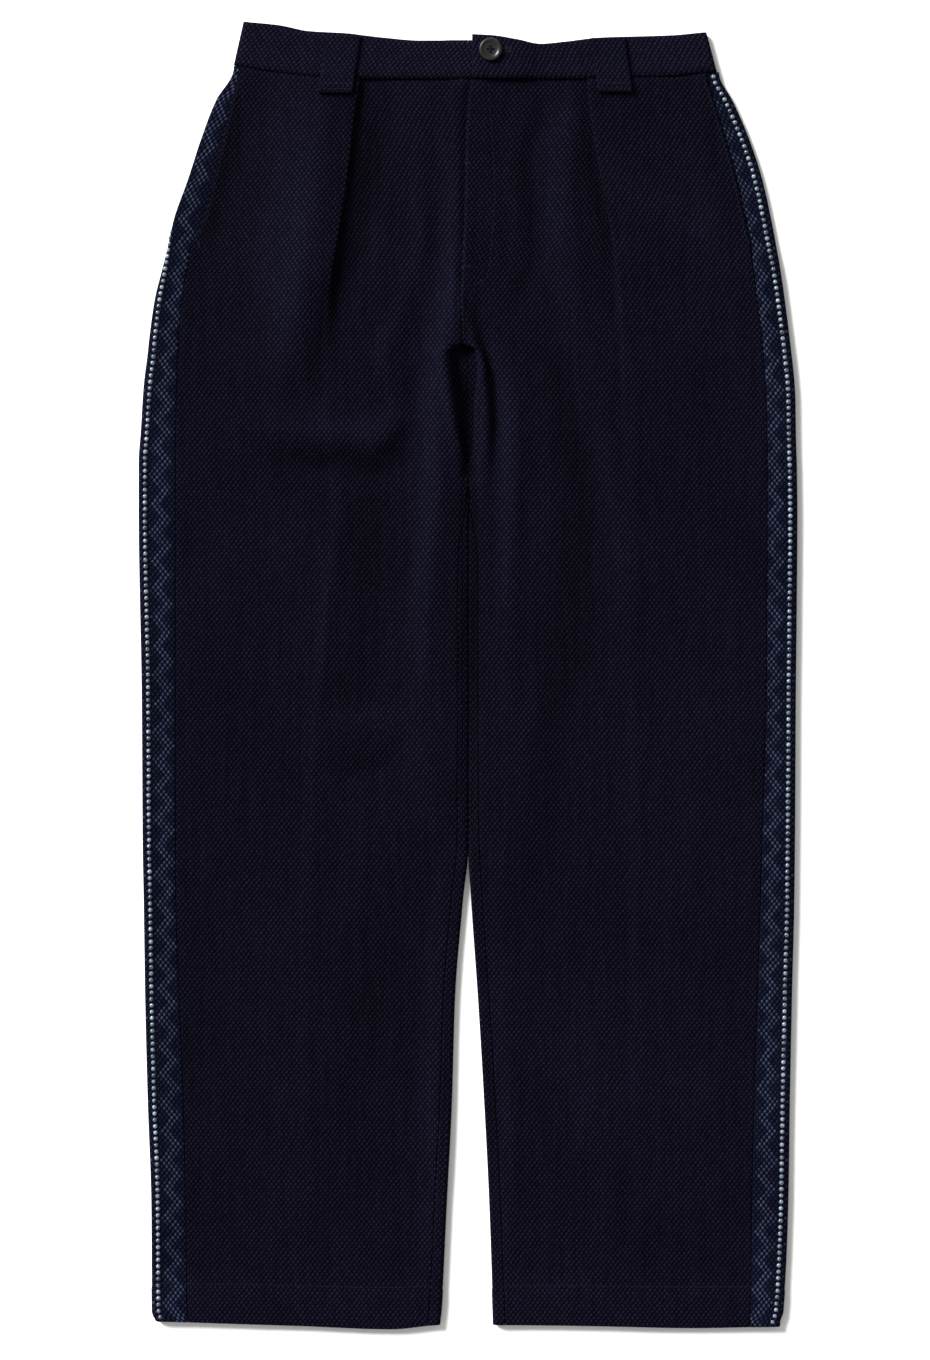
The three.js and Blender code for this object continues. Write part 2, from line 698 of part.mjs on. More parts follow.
// A front loop: a strip over the waistband, folded under and sewn down at its foot
function frontLoop(name, colour, leg, loop) {
  const width = 27
  const parts = [0, 0.06, 0.14, 0.22, 0.27, 0.33, 0.4, 0.55, 0.8, 0.96, 1]
  const reach = [-3, 0, 3]
  const sections = parts.map((part) => {
    const y = mix(loop.bottom[1], loop.top[1], part)
    const centre = mix(loop.bottom[0], loop.top[0], part)
    const folded = part <= 0.15 ? 0.7 : 0
    const thick = part === 0 || part === 1 ? LOOP_CLOTH - 0.5 : LOOP_CLOTH + folded
    const from = leg.sign * centre + width / 2
    const path = straight(from, from - width, 4, (across) => {
      const faces = reach.map((step) => faceUnder(leg, leg.sign * across, y + step))
      return Math.max(...faces) + LOOP_GAP + thick / 2
    })
    return { path, along: () => y, outside: thick / 2, inside: thick / 2 }
  })
  return wall(name, colour, leg, sections)
}

// A back loop: a flat strip on the floor, under the waistband that it is sewn to
function backLoop(name, colour, centre) {
  const width = 26
  const rows = [473, 475, 499, 501]
  const sections = rows.map((y) => {
    const thick = y === rows[0] || y === rows[3] ? BACK_LOOP_CLOTH - 0.4 : BACK_LOOP_CLOTH
    const from = centre + width / 2
    const height = BACK_LOOP_CLOTH / 2
    return {
      path: straight(from, from - width, 2, () => height),
      along: () => y - (Math.abs(centre) > 1 ? 0 : 2),
      outside: thick / 2,
      inside: height,
    }
  })
  return wall(name, colour, LEFT, sections)
}

// A four-hole button with a raised rim, turned on its axis and drilled
function button(name, colour) {
  const profile = [
    [0, 0],
    [BUTTON_RADIUS - 1.2, 0],
    [BUTTON_RADIUS, 1],
    [BUTTON_RADIUS, 2],
    [BUTTON_RADIUS - 0.8, BUTTON_HEIGHT],
    [BUTTON_RADIUS - 2, BUTTON_HEIGHT],
    [BUTTON_RADIUS - 3.6, BUTTON_HEIGHT - 0.9],
    [0, BUTTON_HEIGHT - 1],
  ]
  const disc = new THREE.LatheGeometry(profile.map(([r, h]) => new THREE.Vector2(r, h)), 28)
  disc.rotateX(Math.PI / 2)
  let solid = manifold(disc)
  for (const [x, y] of [[1, 0], [-1, 0], [0, 1], [0, -1]]) {
    const drill = new THREE.CylinderGeometry(BUTTON_HOLE_RADIUS, BUTTON_HOLE_RADIUS, 3 * BUTTON_HEIGHT, 10)
    drill.rotateX(Math.PI / 2)
    drill.translate(x * BUTTON_HOLE_SPREAD, y * BUTTON_HOLE_SPREAD, BUTTON_HEIGHT / 2)
    solid = solid.subtract(manifold(drill))
  }
  const { vertProperties, triVerts } = solid.getMesh()
  const geometry = new THREE.BufferGeometry()
  geometry.setAttribute('position', new THREE.Float32BufferAttribute(vertProperties, 3))
  geometry.setIndex(new THREE.Uint32BufferAttribute(triVerts, 1))
  const [x, y] = BUTTON_CENTRE
  geometry.translate(x, y, waistLevel(LEFT, x) + WAIST_CLOTH / 2 + SEAM_GAP)
  return mesh(name, colour, geometry)
}

function manifold(geometry) {
  geometry.deleteAttribute('normal')
  geometry.deleteAttribute('uv')
  const merged = mergeVertices(geometry)
  const vertProperties = new Float32Array(merged.attributes.position.array)
  const triVerts = new Uint32Array(merged.index.array)
  return new wasm.Manifold(new wasm.Mesh({ numProp: 3, vertProperties, triVerts }))
}

const INDIGO = 0x15141f
const BLUE_BAND = 0x2b2f4a
const LOOP_BLUE = 0x17161f
const HORN = 0x2b2725

const group = new THREE.Group()
for (const leg of [RIGHT, LEFT]) {
  group.add(panel(`front_${leg.name}`, INDIGO, leg, frontPath))
  group.add(panel(`back_${leg.name}`, INDIGO, leg, backPath))
  group.add(panel(`side_band_${leg.name}`, BLUE_BAND, leg, bandPath))
  group.add(waistband(`waistband_${leg.name}`, INDIGO, leg))
}
group.add(frontLoop('belt_loop_front_right', LOOP_BLUE, RIGHT, { top: [-98, 503.6], bottom: [-104.7, 458] }))
group.add(frontLoop('belt_loop_front_left', LOOP_BLUE, LEFT, { top: [110.5, 501.8], bottom: [116, 458.7] }))
group.add(backLoop('belt_loop_back_right', LOOP_BLUE, -107))
group.add(backLoop('belt_loop_back_centre', LOOP_BLUE, CENTRE_BACK))
group.add(backLoop('belt_loop_back_left', LOOP_BLUE, 107))
group.add(button('button', HORN))

export default group
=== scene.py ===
import math

import bpy
import numpy as np
from mathutils.bvhtree import BVHTree
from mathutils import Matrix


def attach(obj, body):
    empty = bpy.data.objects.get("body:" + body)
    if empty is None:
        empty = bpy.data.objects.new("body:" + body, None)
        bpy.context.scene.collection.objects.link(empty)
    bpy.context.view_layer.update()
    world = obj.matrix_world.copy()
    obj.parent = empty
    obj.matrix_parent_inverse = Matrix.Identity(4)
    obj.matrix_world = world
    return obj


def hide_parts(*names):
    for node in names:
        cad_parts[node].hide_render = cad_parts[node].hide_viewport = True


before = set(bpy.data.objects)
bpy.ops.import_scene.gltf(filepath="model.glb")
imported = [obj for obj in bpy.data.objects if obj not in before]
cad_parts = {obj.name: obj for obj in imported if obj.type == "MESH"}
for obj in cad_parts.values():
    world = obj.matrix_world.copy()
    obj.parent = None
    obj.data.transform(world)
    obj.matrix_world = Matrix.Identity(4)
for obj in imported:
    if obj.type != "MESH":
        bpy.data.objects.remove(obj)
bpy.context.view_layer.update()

# Place, light and view
# The trousers lie on a white table with the front up and the waist at the top of the picture.
# They are seen from straight above, in soft light from the upper left.
MM = 0.001
PHOTO_WIDTH = 930
PHOTO_HEIGHT = 1360
PIXEL = 0.79 * MM
PHOTO_ORIGIN = (468, 675)
CAMERA_HEIGHT = 3.0
SENSOR = 36


def new_object(name, data):
    """An object of the scene for a mesh, a light or the camera."""
    made = bpy.data.objects.new(name, data)
    bpy.context.collection.objects.link(made)
    return made


camera_data = bpy.data.cameras.new("camera")
camera_data.sensor_width = SENSOR
camera_data.lens = SENSOR * CAMERA_HEIGHT / (PHOTO_HEIGHT * PIXEL)
camera = new_object("camera", camera_data)
camera.location = (
    (PHOTO_WIDTH / 2 - PHOTO_ORIGIN[0]) * PIXEL,
    (PHOTO_ORIGIN[1] - PHOTO_HEIGHT / 2) * PIXEL,
    CAMERA_HEIGHT,
)
bpy.context.scene.camera = camera

TABLE_SIZE = 6.0
TABLE_DROP = 0.0002
TABLE_WHITE = (0.93, 0.925, 0.915, 1)
TABLE_SHADE = 0.985
KEY_FROM = (-1.3, 1.1, 1.0)
KEY_STRENGTH = 9.6
KEY_ANGLE = 26
ROOM_LIGHT = 0.52


def add_node(tree, kind, settings=None, **inputs):
    """A node with its settings, and its inputs by name or as i0, i1: each a value or a node's output."""
    made = tree.nodes.new(kind)
    for name, value in (settings or {}).items():
        setattr(made, name, value)
    for name, value in inputs.items():
        counted = name[0] == "i" and name[1:].isdigit()
        socket = made.inputs[int(name[1:])] if counted else made.inputs[name.replace("_", " ")]
        if isinstance(value, bpy.types.NodeSocket):
            tree.links.new(value, socket)
        else:
            socket.default_value = value
    return made


def new_material(name):
    """A material with only its output, ready for its nodes."""
    made = bpy.data.materials.new(name)
    made.use_nodes = True
    made.node_tree.nodes.clear()
    return made, made.node_tree


def finish_material(tree, **inputs):
    """The material's shader, with its inputs, and its output."""
    shader = add_node(tree, "ShaderNodeBsdfPrincipled", **inputs)
    add_node(tree, "ShaderNodeOutputMaterial", Surface=shader.outputs[0])


def object_place(tree):
    return add_node(tree, "ShaderNodeTexCoord").outputs["Object"]


def noise(tree, place, scale, detail, **inputs):
    made = add_node(tree, "ShaderNodeTexNoise", Vector=place, Scale=scale, Detail=detail, **inputs)
    return made.outputs["Fac"]


def mixed(tree, share, first, second, blend="MIX"):
    """A colour from two, by the second one's share."""
    settings = {"data_type": "RGBA", "blend_type": blend}
    return add_node(tree, "ShaderNodeMix", settings, i0=share, i6=first, i7=second).outputs[2]


def ranged(tree, value, settings=None, **limits):
    """A value carried over from one range to another."""
    return add_node(tree, "ShaderNodeMapRange", settings, Value=value, **limits).outputs[0]


table_material, tree = new_material("white_table")
dull = tuple(TABLE_SHADE * c for c in TABLE_WHITE[:3]) + (1,)
paint = mixed(tree, noise(tree, object_place(tree), 3, 2), TABLE_WHITE, dull)
finish_material(tree, Base_Color=paint, Roughness=0.9)
half = TABLE_SIZE / 2
table_mesh = bpy.data.meshes.new("table")
corners = [(-half, -half), (half, -half), (half, half), (-half, half)]
table_mesh.from_pydata([(x, y, -TABLE_DROP) for x, y in corners], [], [(0, 1, 2, 3)])
table_mesh.materials.append(table_material)
table_top = new_object("table", table_mesh)

key_data = bpy.data.lights.new("key", "SUN")
key_data.angle = math.radians(KEY_ANGLE)
key_data.energy = KEY_STRENGTH
key = new_object("key", key_data)
key.location = KEY_FROM
key.rotation_euler = (-key.location).to_track_quat("-Z", "Y").to_euler()
room = bpy.data.worlds.new("room")
room.use_nodes = True
room.node_tree.nodes["Background"].inputs["Color"].default_value = (1, 1, 1, 1)
room.node_tree.nodes["Background"].inputs["Strength"].default_value = ROOM_LIGHT
bpy.context.scene.world = room
bpy.context.scene.view_settings.view_transform = "Standard"

# Fronts
# Two panels of heavy indigo cotton in a sashiko weave, each with a forward pleat and a turned-up hem.
# Each is sewn to its back at the inseam and to its side band. The left one lies over the right at the fly.
# All sizes are in millimetres: x across, y up the leg, and z up from the table.
CLOTH = 1.6
SEAM_GAP = 0.3
WAIST_GAP = 0.5
INSEAM_GAP = 0.9
HALF = CLOTH / 2
LAYER = CLOTH + SEAM_GAP
FLOOR_MID = HALF
LOWEST_FRONT = FLOOR_MID + LAYER
ROUNDING = 0.8
ROUND_STEPS = (0, 0.12, 0.4, 0.8)
ROUND_REACH = 6.0
HEM_ROW_STEP = 3
ROW_STEP = 4.0

HEM_EDGE = -510
HEM_FOLD_TOP = -480
HEM_CLOTH = 2.7
HEM_RELIEF = 0.4
# Painted light: the hem's colour is drawn paler, standing in for the light on its puckered double layer.
HEM_PAINTED_LIGHT = 0.9
HEM_GROOVE = 0.35
HEM_GROOVE_WIDTH = 1.8
HEM_GROOVE_MIDDLE = HEM_FOLD_TOP - 1
HEM_SAG_START = -440
WAIST_SEAM = 470
WAIST_SAG_START = 405
CROTCH_ROLLED = 258
CROTCH_FOOT = 165
CENTRE_BACK = 0.2
CENTRE_BACK_SLIP = 0.02
SIDE_FALL = 24
INNER_FALL = 14
FIRMNESS = 3
POCKET_FOOT = 341
POCKET_DIP_START = 315
POCKET_FULL = 360
POCKET_UNDERLAP = 18
FLY_FOOT = 318
FLY_DIP_START = 280
FLY_FULL = 345
FLY_UNDERLAP = 12
FLY_RAISE = 0.9
FLY_GROOVE = 0.6
FLY_GROOVE_WIDTH = 1.5
PLEAT_TURN = 1.1 * math.pi
PLEAT_FALL = 60
PLEAT_LEAST = 3

# Steps of a section's path
OUTER_STEPS = 26
OVER_STEPS = 5
UNDER_STEPS = 5
TURN_STEPS = 8
STRETCH_STEPS = 30
STRETCH_CROWDING = 1.35
EDGE_STEPS = 8
EDGE_STRETCH = 6.0
FINE_STEPS = 160
ROLL_STEPS = 12


def table(names, rows):
    """A table of numbers by the names of its columns."""
    return dict(zip(names.split(), np.array(rows, float).T))


def read(rows, name, at):
    """A column of a table at places between its rows, on a curve that never overshoots them."""
    x = next(iter(rows.values()))
    y = rows[name]
    slope = np.diff(y) / np.diff(x)
    before, after = slope[:-1], slope[1:]
    same = before * after > 0
    tangent = np.zeros(len(x))
    tangent[1:-1][same] = 2 * (before * after)[same] / (before + after)[same]
    at = np.clip(at, x[0], x[-1])
    i = np.clip(np.searchsorted(x, at) - 1, 0, len(x) - 2)
    step = x[i + 1] - x[i]
    t = (at - x[i]) / step
    start = y[i] * (1 + 2 * t) * (1 - t) ** 2 + tangent[i] * step * t * (1 - t) ** 2
    return start + y[i + 1] * (3 - 2 * t) * t**2 - tangent[i + 1] * step * t**2 * (1 - t)


def ease(start, end, at):
    t = np.clip((np.asarray(at, float) - start) / (end - start), 0, 1)
    return t * t * (3 - 2 * t)


SIGN = {"right": -1, "left": 1}
# Each leg's outline as it lies, row by row: its side fold, its band's seam and its inner edge
OUTLINES = {
    "right": table("y side seam inner", [
        (-510, -246.2, -220.6, -22.1),
        (-503, -249.2, -221, -21.2),
        (-415, -250, -222.8, -16.6),
        (-336, -252.8, -224.4, -12.6),
        (-257, -254.8, -227.5, -10.3),
        (-178, -256, -230.3, -4),
        (-134, -256.8, -230.7, 0.3),
        (-20, -257.5, -230.7, 0.4),
        (130, -259.9, -230.7, 0.4),
        (150, -259.9, -230.7, 1),
        (166, -259.9, -230.7, 1),
        (172, -259.8, -230.7, -2.6),
        (190, -258.4, -230.5, -6.3),
        (228, -256, -229.6, -11.1),
        (254, -252.8, -228.7, -13.4),
        (262, -252, -228.4, -4.9),
        (296, -247.3, -225.2, -5.6),
        (321.5, -241, -221.2, -4.8),
        (340, -236.6, -217.4, -3.8),
        (359.5, -232.3, -208.6, -2.8),
        (391, -221.2, -200.7, -2.2),
        (422.7, -210.9, -193.6, -1.6),
        (454, -199.1, -186.4, 0),
        (481, -184.9, -180.9, 3.2),
    ]),
    "left": table("y side seam inner", [
        (-510, 246, 222.4, 19.8),
        (-503, 248.5, 222.8, 19.6),
        (-415, 252.8, 224, 16.6),
        (-336, 254, 225.9, 12.6),
        (-257, 255.6, 228.3, 7.9),
        (-178, 257.5, 230.7, 2.4),
        (-134, 258, 232, 0.2),
        (-20, 258.7, 235.4, 0.15),
        (130, 259.9, 236.2, 0.1),
        (150, 259.7, 236.2, -0.6),
        (166, 259.5, 236.2, -0.6),
        (172, 259.3, 236.2, 3.4),
        (190, 258.8, 235.9, 4.4),
        (220, 258.3, 235.4, 5.2),
        (242, 256.6, 233.8, 7.1),
        (256, 255, 232.8, 5),
        (262, 254.3, 232.4, -4.9),
        (296, 250, 228.2, -5.6),
        (321.5, 246.3, 225, -4.8),
        (343, 242.5, 222, -3.6),
        (359.5, 239.4, 218.4, -2.8),
        (391, 232.3, 211.7, -2.2),
        (422.7, 222, 203, -1.6),
        (454, 208.6, 193.6, 0),
        (475, 198.3, 188, 3.2),
    ]),
}
# Height of the front's middle surface: midway, by the side fold and by the inner edge
LEVEL = table("y middle side inner", [
    (-516, 5.6, 6.2, 5.8),
    (-484, 5.6, 6.2, 5.8),
    (-466, 4.3, 6.1, 5.1),
    (-200, 4.1, 6, 5),
    (0, 4.3, 6.2, 5.2),
    (150, 4.6, 6.4, 5.4),
    (200, 4.8, 6.4, 6),
    (262, 5.2, 6.4, 6.8),
    (340, 4.9, 6.4, 6),
    (470, 4.6, 6.3, 5.2),
])
# Where the inseam lies on the inner fold: degrees round it, or millimetres in from it
INSEAM = table("y turn inset", [
    (70, 0, 6.2), (100, 0, 5.4), (122, 0, 1.6), (132, 0, 0), (146, 45, 0), (158, 88, 0), (165, 90, 0),
])
FLY_STITCH = table("y x", [(320, 17), (341, 18.7), (374, 21.5), (413, 19.9), (464, 16.5)])
# The pleat's tuck, and its turn in degrees, which is 180 where it is folded flat
PLEAT = table("y tuck turn", [
    (-510, 20, 0.1),
    (-60, 20, 0.5),
    (100, 20, 1.2),
    (180, 18, 2.2),
    (225, 14, 4.5),
    (262, 8, 11),
    (285, 3, 28),
    (305, 0.6, 70),
    (322, 0.4, 130),
    (344, 3, 180),
    (375, 8, 180),
    (415, 14, 180),
    (470, 22, 180),
])
# Where the pleat's edge lies on each leg
PLEAT_LINE = table("y right left", [
    (-510, -116, 124),
    (-70, -113, 121),
    (100, -107, 120),
    (200, -105, 121),
    (270, -107, 120),
    (307, -106.6, 117),
    (344, -101.8, 113.2),
    (375, -96.8, 107.8),
    (415, -91.8, 100.4),
    (447, -88, 95.8),
    (470, -85, 93.8),
])
# The hem's edge across both legs
HEM = table("x y", [
    (-250, -510), (-176, -512), (-129, -513.5), (-60, -515.9), (-22, -512.7), (29, -512.7), (100, -513.5),
    (178, -515), (243, -514),
])
# The waist seam's place up each leg, by its distance from the middle
WAIST_SEAM_LINE = table("across right left", [
    (85, 470, 470), (122, 471.4, 470.3), (160, 476.4, 471.8), (197, 484, 476.2),
])
# Folds as they lie: width, then x, y and rise along each crest or trough. The rise also goes into the cloth's
# colour, as painted light on crests and painted shade in troughs.
FOLDS = {
    "right inner thigh ridge": (12, [(-15, 300, 0.9), (-20, 262, 3.3), (-21, 215, 4.5), (-23, 171, 4.9),
                                     (-27, 115, 4.3), (-34, 40, 2.7), (-37, -40, 1.4), (-32, -120, 0.8)]),
    "right thigh step, crest": (13, [(-36, 228, 0), (-46, 205, 2.4), (-70, 188, 3.3), (-112, 191, 2.7),
                                     (-158, 197, 1), (-190, 202, 0)]),
    "right thigh step, foot": (9, [(-42, 240, -0.6), (-46, 205, -2.1), (-57, 172, -3.3), (-78, 165, -3.6),
                                   (-120, 169, -2.4), (-170, 176, 0)]),
    "right pleat shoulder": (10, [(-112, 462, 0.4), (-118, 400, 1.2), (-124, 350, 1.5), (-134, 300, 1.5),
                                  (-140, 262, 1), (-142, 230, 0)]),
    "right pleat valley": (11, [(-66, 462, -0.4), (-75, 420, -1.7), (-81, 380, -2.4), (-90, 335, -2.7),
                                (-101, 305, -2.7), (-113, 268, -2.2), (-118, 236, -1.7), (-120, 208, 0)]),
    "right fly valley ridge": (8, [(-41, 452, 0.4), (-38, 400, 1.5), (-36, 350, 2), (-42, 308, 0.8)]),
    "right fly crest": (11, [(-8, 462, 0.3), (-8, 420, 1.4), (-8, 370, 2.7), (-8, 320, 3.9), (-9, 285, 4.5),
                             (-13, 262, 3.6), (-16, 235, 1.5)]),
    "right groin bump": (9, [(-50, 304, 0), (-60, 272, 2), (-66, 250, 2.2), (-62, 228, 0.6)]),
    "right hip swell": (20, [(-122, 458, 0.9), (-132, 400, 2.8), (-138, 340, 3.2), (-141, 280, 2.2),
                             (-147, 230, 0)]),
    "right hip trough": (11, [(-172, 462, -0.4), (-182, 420, -2), (-196, 370, -2.2), (-208, 330, -0.9),
                              (-213, 300, 0)]),
    "right pressed crease": (6, [(-112, 215, 0.4), (-101, 130, 1.4), (-110, 60, 1.5), (-118, -15, 1.4),
                                 (-124, -100, 1), (-127, -190, 0.8), (-128, -300, 0.4), (-128, -430, 0)]),
    "right knee fold, crest": (12, [(-120, -34, 0), (-86, -36, 2.5), (-56, -36, 1.4), (-40, -14, 0)]),
    "right knee fold, foot": (9, [(-122, -70, 0), (-88, -75, -1.8), (-58, -63, -0.9), (-44, -50, 0)]),
    "right shin edge": (9, [(-20, -150, 0.8), (-24, -250, 1.4), (-27, -335, 2.7), (-25, -400, 1.5),
                            (-28, -470, 0.9)]),
    "right shin trough": (18, [(-62, -120, 0), (-70, -210, -0.6), (-78, -320, -0.5), (-84, -420, -0.2)]),
    "left inner roll": (5, [(1, 284, 0.6), (6, 256, 2.1), (12, 226, 2.8), (14, 200, 3), (13, 165, 1.8),
                            (11, 120, 0)]),
    "left inner valley": (4, [(3, 292, -0.4), (12.5, 256, -3), (20, 232, -3.9), (21.5, 205, -3.9),
                              (21.5, 182, -2.2), (21, 150, -0.4)]),
    "left thigh ridge": (9, [(24, 272, 0.4), (32, 228, 2.8), (36, 190, 3.8), (35, 150, 3.4), (34, 100, 2.5),
                             (32, 40, 1.4), (30, -40, 0.6)]),
    "between the thighs": (8, [(1, 160, -0.9), (2, 130, -2.7), (2, 0, -2.8), (1, -90, -2.2),
                               (0, -130, -0.9)]),
    "left thigh valley": (17, [(62, 264, -0.4), (80, 215, -1.6), (92, 150, -2), (90, 80, -2), (84, 10, -1.6),
                               (68, -80, -1.6), (56, -150, -1), (52, -220, 0)]),
    "left pleat groove": (4.5, [(90, 462, -1), (96.5, 415, -2.2), (104, 375, -2.6), (109.5, 344, -2.2),
                                (113.5, 307, -1.3), (118, 262, -0.9), (122, 180, -0.5), (122, 100, 0)]),
    "right thigh trough": (17, [(-70, 152, -0.8), (-79, 110, -2), (-80, 40, -2), (-84, -20, -1.2),
                                (-86, -50, 0)]),
    "right crotch edge": (5, [(-15, 258, 1), (-13.5, 228, 3), (-9, 195, 3.2), (-6, 170, 1.5), (-5, 140, 0)]),
    # Mostly painted shade: this deep trough darkens the backs' colour in the gap between the legs, and shapes
    # the fronts' inner edges a little.
    "seat_painted_shade": (5, [(-3, 236, -1), (-3, 220, -4), (-2, 190, -4), (0, 160, -3.5)]),
    "left thigh slant": (10, [(86, 236, 0.4), (108, 180, 1.4), (120, 120, 1.5), (124, 60, 1), (124, 0, 0.4)]),
    "left fly valley": (7, [(64, 462, -0.4), (52, 425, -1.8), (46, 402, -2.2), (51, 368, -2.5),
                            (51, 330, -2.4), (43, 303, -1.7), (32, 284, -0.4)]),
    "left pleat ridge": (12, [(88, 464, 0.8), (78, 420, 2.8), (74, 380, 3.4), (78, 330, 2.8), (84, 290, 1.7),
                              (92, 250, 0.4)]),
    "left hip slant": (14, [(118, 386, 0.8), (150, 368, 2.2), (185, 350, 2.1), (214, 322, 0.6)]),
    "left hip trough": (12, [(182, 462, 0), (196, 420, -1.4), (214, 372, -1.4), (222, 330, 0)]),
    "left pressed crease": (5, [(117, 312, 0), (125, 250, 0.4), (130, 150, 0.7), (131, 0, 0.7),
                                (134, -200, 0.9), (136, -440, 0.5)]),
    "left fly top": (12, [(3, 474, 1.8), (40, 474, 1.5), (66, 474, 0)]),
    "left shin edge": (9, [(22, -150, 0.6), (28, -250, 1.2), (33, -337, 2.4), (34, -400, 1.5),
                           (32, -470, 0.9)]),
    "left shin swell": (20, [(92, -180, 0), (98, -270, 1.2), (96, -360, 1), (100, -450, 0)]),
}
# Small creases: middle in x and y, length, lean from upright in degrees, rise and width
CREASES = table("x y length lean rise width", [
    (-8.5, 296, 76, -3, 0.6, 2),
    (-14, 292, 72, -10, 0.6, 2),
    (-20, 290, 66, -22, 0.6, 2.2),
    (-28, 286, 60, -34, 0.55, 2.5),
    (-38, 276, 60, -52, 0.6, 3),
    (3, 292, 60, 4, 0.5, 2),
    (11, 284, 56, 22, 0.55, 2.4),
    (22, 278, 56, 40, 0.5, 3),
    (-62, 420, 70, 10, -0.5, 6),
    (-28, 390, 90, 4, -0.5, 5),
    (-24, 330, 70, -4, -0.6, 4),
    (-72, 236, 84, -34, -0.5, 7),
    (-95, 214, 70, -66, 0.6, 8),
    (-150, 430, 90, 14, 0.5, 9),
    (-170, 300, 90, 12, -0.4, 9),
    (-190, 240, 110, 4, 0.4, 10),
    (-64, 118, 110, 12, -0.5, 9),
    (-84, 50, 120, 6, 0.5, 10),
    (-62, -6, 40, 30, 0.6, 8),
    (-150, 110, 120, -12, 0.4, 12),
    (-180, -40, 150, 5, -0.4, 12),
    (-150, -150, 150, -14, 0.4, 12),
    (-95, -190, 140, 8, 0.4, 9),
    (-46, -220, 110, -8, -0.4, 7),
    (-190, -290, 150, 7, 0.4, 11),
    (-60, -350, 110, -12, 0.45, 9),
    (-110, -420, 90, 14, -0.4, 9),
    (-175, -430, 90, -10, 0.4, 10),
    (30, 400, 70, 6, -0.4, 6),
    (62, 420, 60, 28, 0.4, 5),
    (62, 262, 80, 24, -0.5, 6),
    (58, 236, 60, 40, 0.5, 5),
    (48, 130, 90, 4, -0.5, 6),
    (94, 236, 100, -12, 0.4, 9),
    (86, 60, 120, 10, 0.4, 8),
    (48, -30, 110, 3, 0.4, 7),
    (160, 430, 80, -18, 0.5, 8),
    (176, 310, 110, -8, -0.4, 10),
    (205, 230, 120, -5, 0.4, 10),
    (166, 90, 150, 7, -0.4, 11),
    (196, -60, 160, -5, -0.4, 12),
    (92, -110, 120, -10, 0.5, 10),
    (160, -190, 160, 10, 0.4, 12),
    (60, -262, 110, 8, -0.4, 8),
    (186, -320, 140, -8, 0.4, 11),
    (112, -390, 110, 8, 0.4, 9),
    (54, -440, 80, -8, -0.35, 7),
    (160, -452, 70, 12, 0.35, 8),
])
# Puckers along the hem's stitches: middle in x, lean and rise
HEM_PUCKERS = table("x lean rise", [
    (-238, 8, 0.4), (-216, -10, 0.3), (-196, 14, 0.45), (-171, -6, 0.35), (-150, 10, 0.4), (-133, -14, 0.3),
    (-104, 6, 0.45), (-82, -8, 0.35), (-66, 12, 0.3), (-43, -6, 0.4), (-29, 9, 0.3), (31, -9, 0.4),
    (47, 6, 0.3), (72, -12, 0.45), (94, 8, 0.3), (111, -6, 0.4), (139, 12, 0.35), (158, -8, 0.45),
    (184, 8, 0.3), (203, -12, 0.4), (229, 6, 0.35),
])
PUCKER_WIDTH = 5
PUCKER_REACH = 18
CREASE_BEND = 0.12
TROUGH_FADE_START = 448


def path_rise(x, y, width, path):
    """Rise of one fold at points of the cloth."""
    nearest = np.full(x.shape, np.inf)
    rise = np.zeros(x.shape)
    for (x0, y0, rise0), (x1, y1, rise1) in zip(path, path[1:]):
        dx, dy = x1 - x0, y1 - y0
        along = np.clip(((x - x0) * dx + (y - y0) * dy) / (dx * dx + dy * dy), 0, 1)
        distance = np.hypot(x - x0 - along * dx, y - y0 - along * dy)
        closer = distance < nearest
        nearest = np.where(closer, distance, nearest)
        rise = np.where(closer, rise0 + (rise1 - rise0) * along, rise)
    return rise * np.exp(-((nearest / width) ** 2))


def fold_rise(x, y):
    """Rise of all folds, small creases, puckers and the cloth's own unevenness at points of it."""
    x, y = np.broadcast_arrays(np.asarray(x, float), np.asarray(y, float))
    total = sum(path_rise(x, y, width, path) for width, path in FOLDS.values())
    for middle_x, middle_y, length, lean, rise, width in zip(*CREASES.values()):
        reach_x = math.sin(math.radians(lean)) * length / 2
        reach_y = math.cos(math.radians(lean)) * length / 2
        if np.abs(y - middle_y).min() > abs(reach_y) + 3 * width:
            continue
        bend = CREASE_BEND * length * math.copysign(1, rise)
        total = total + path_rise(x, y, width, [
            (middle_x - reach_x, middle_y - reach_y, 0),
            (middle_x + bend * 0.3, middle_y, rise),
            (middle_x + reach_x, middle_y + reach_y, 0),
        ])
    if y.min() < HEM_FOLD_TOP + 20:
        for middle_x, lean, rise in zip(*HEM_PUCKERS.values()):
            shift = math.tan(math.radians(lean)) * PUCKER_REACH
            total = total + path_rise(x, y, PUCKER_WIDTH, [
                (middle_x - shift, HEM_EDGE, 0),
                (middle_x, HEM_FOLD_TOP - 8, rise),
                (middle_x + shift, HEM_FOLD_TOP + 12, 0),
            ])
    uneven = np.sin(x / 17 + np.sin(y / 41) * 1.7) * np.sin(y / 29 + np.sin(x / 23) * 1.3)
    fine = np.sin(x / 6.1 + y / 13.7) * np.sin(y / 8.3 - x / 19)
    total = np.where(total < 0, total * (1 - ease(TROUGH_FADE_START, WAIST_SEAM - 2, y)), total)
    return total + 0.2 * uneven + 0.06 * fine


def waist_seam(side, x):
    """The waist seam's place up the leg, on straight lines that run on past the table's last row."""
    across = SIGN[side] * np.asarray(x, float)
    places, heights = WAIST_SEAM_LINE["across"], WAIST_SEAM_LINE[side]
    run_on = (across - places[2]) / (places[3] - places[2]) * (heights[3] - heights[2]) + heights[2]
    return np.where(across > places[2], run_on, np.interp(across, places, heights))


def sag(side, x, y):
    """How far a point is moved along the leg so that the hem and the waist seam follow their edges."""
    hem = (read(HEM, "y", x) - HEM_EDGE) * ease(HEM_SAG_START, HEM_EDGE, y)
    return hem + (waist_seam(side, x) - WAIST_SEAM) * ease(WAIST_SAG_START, WAIST_SEAM, y)


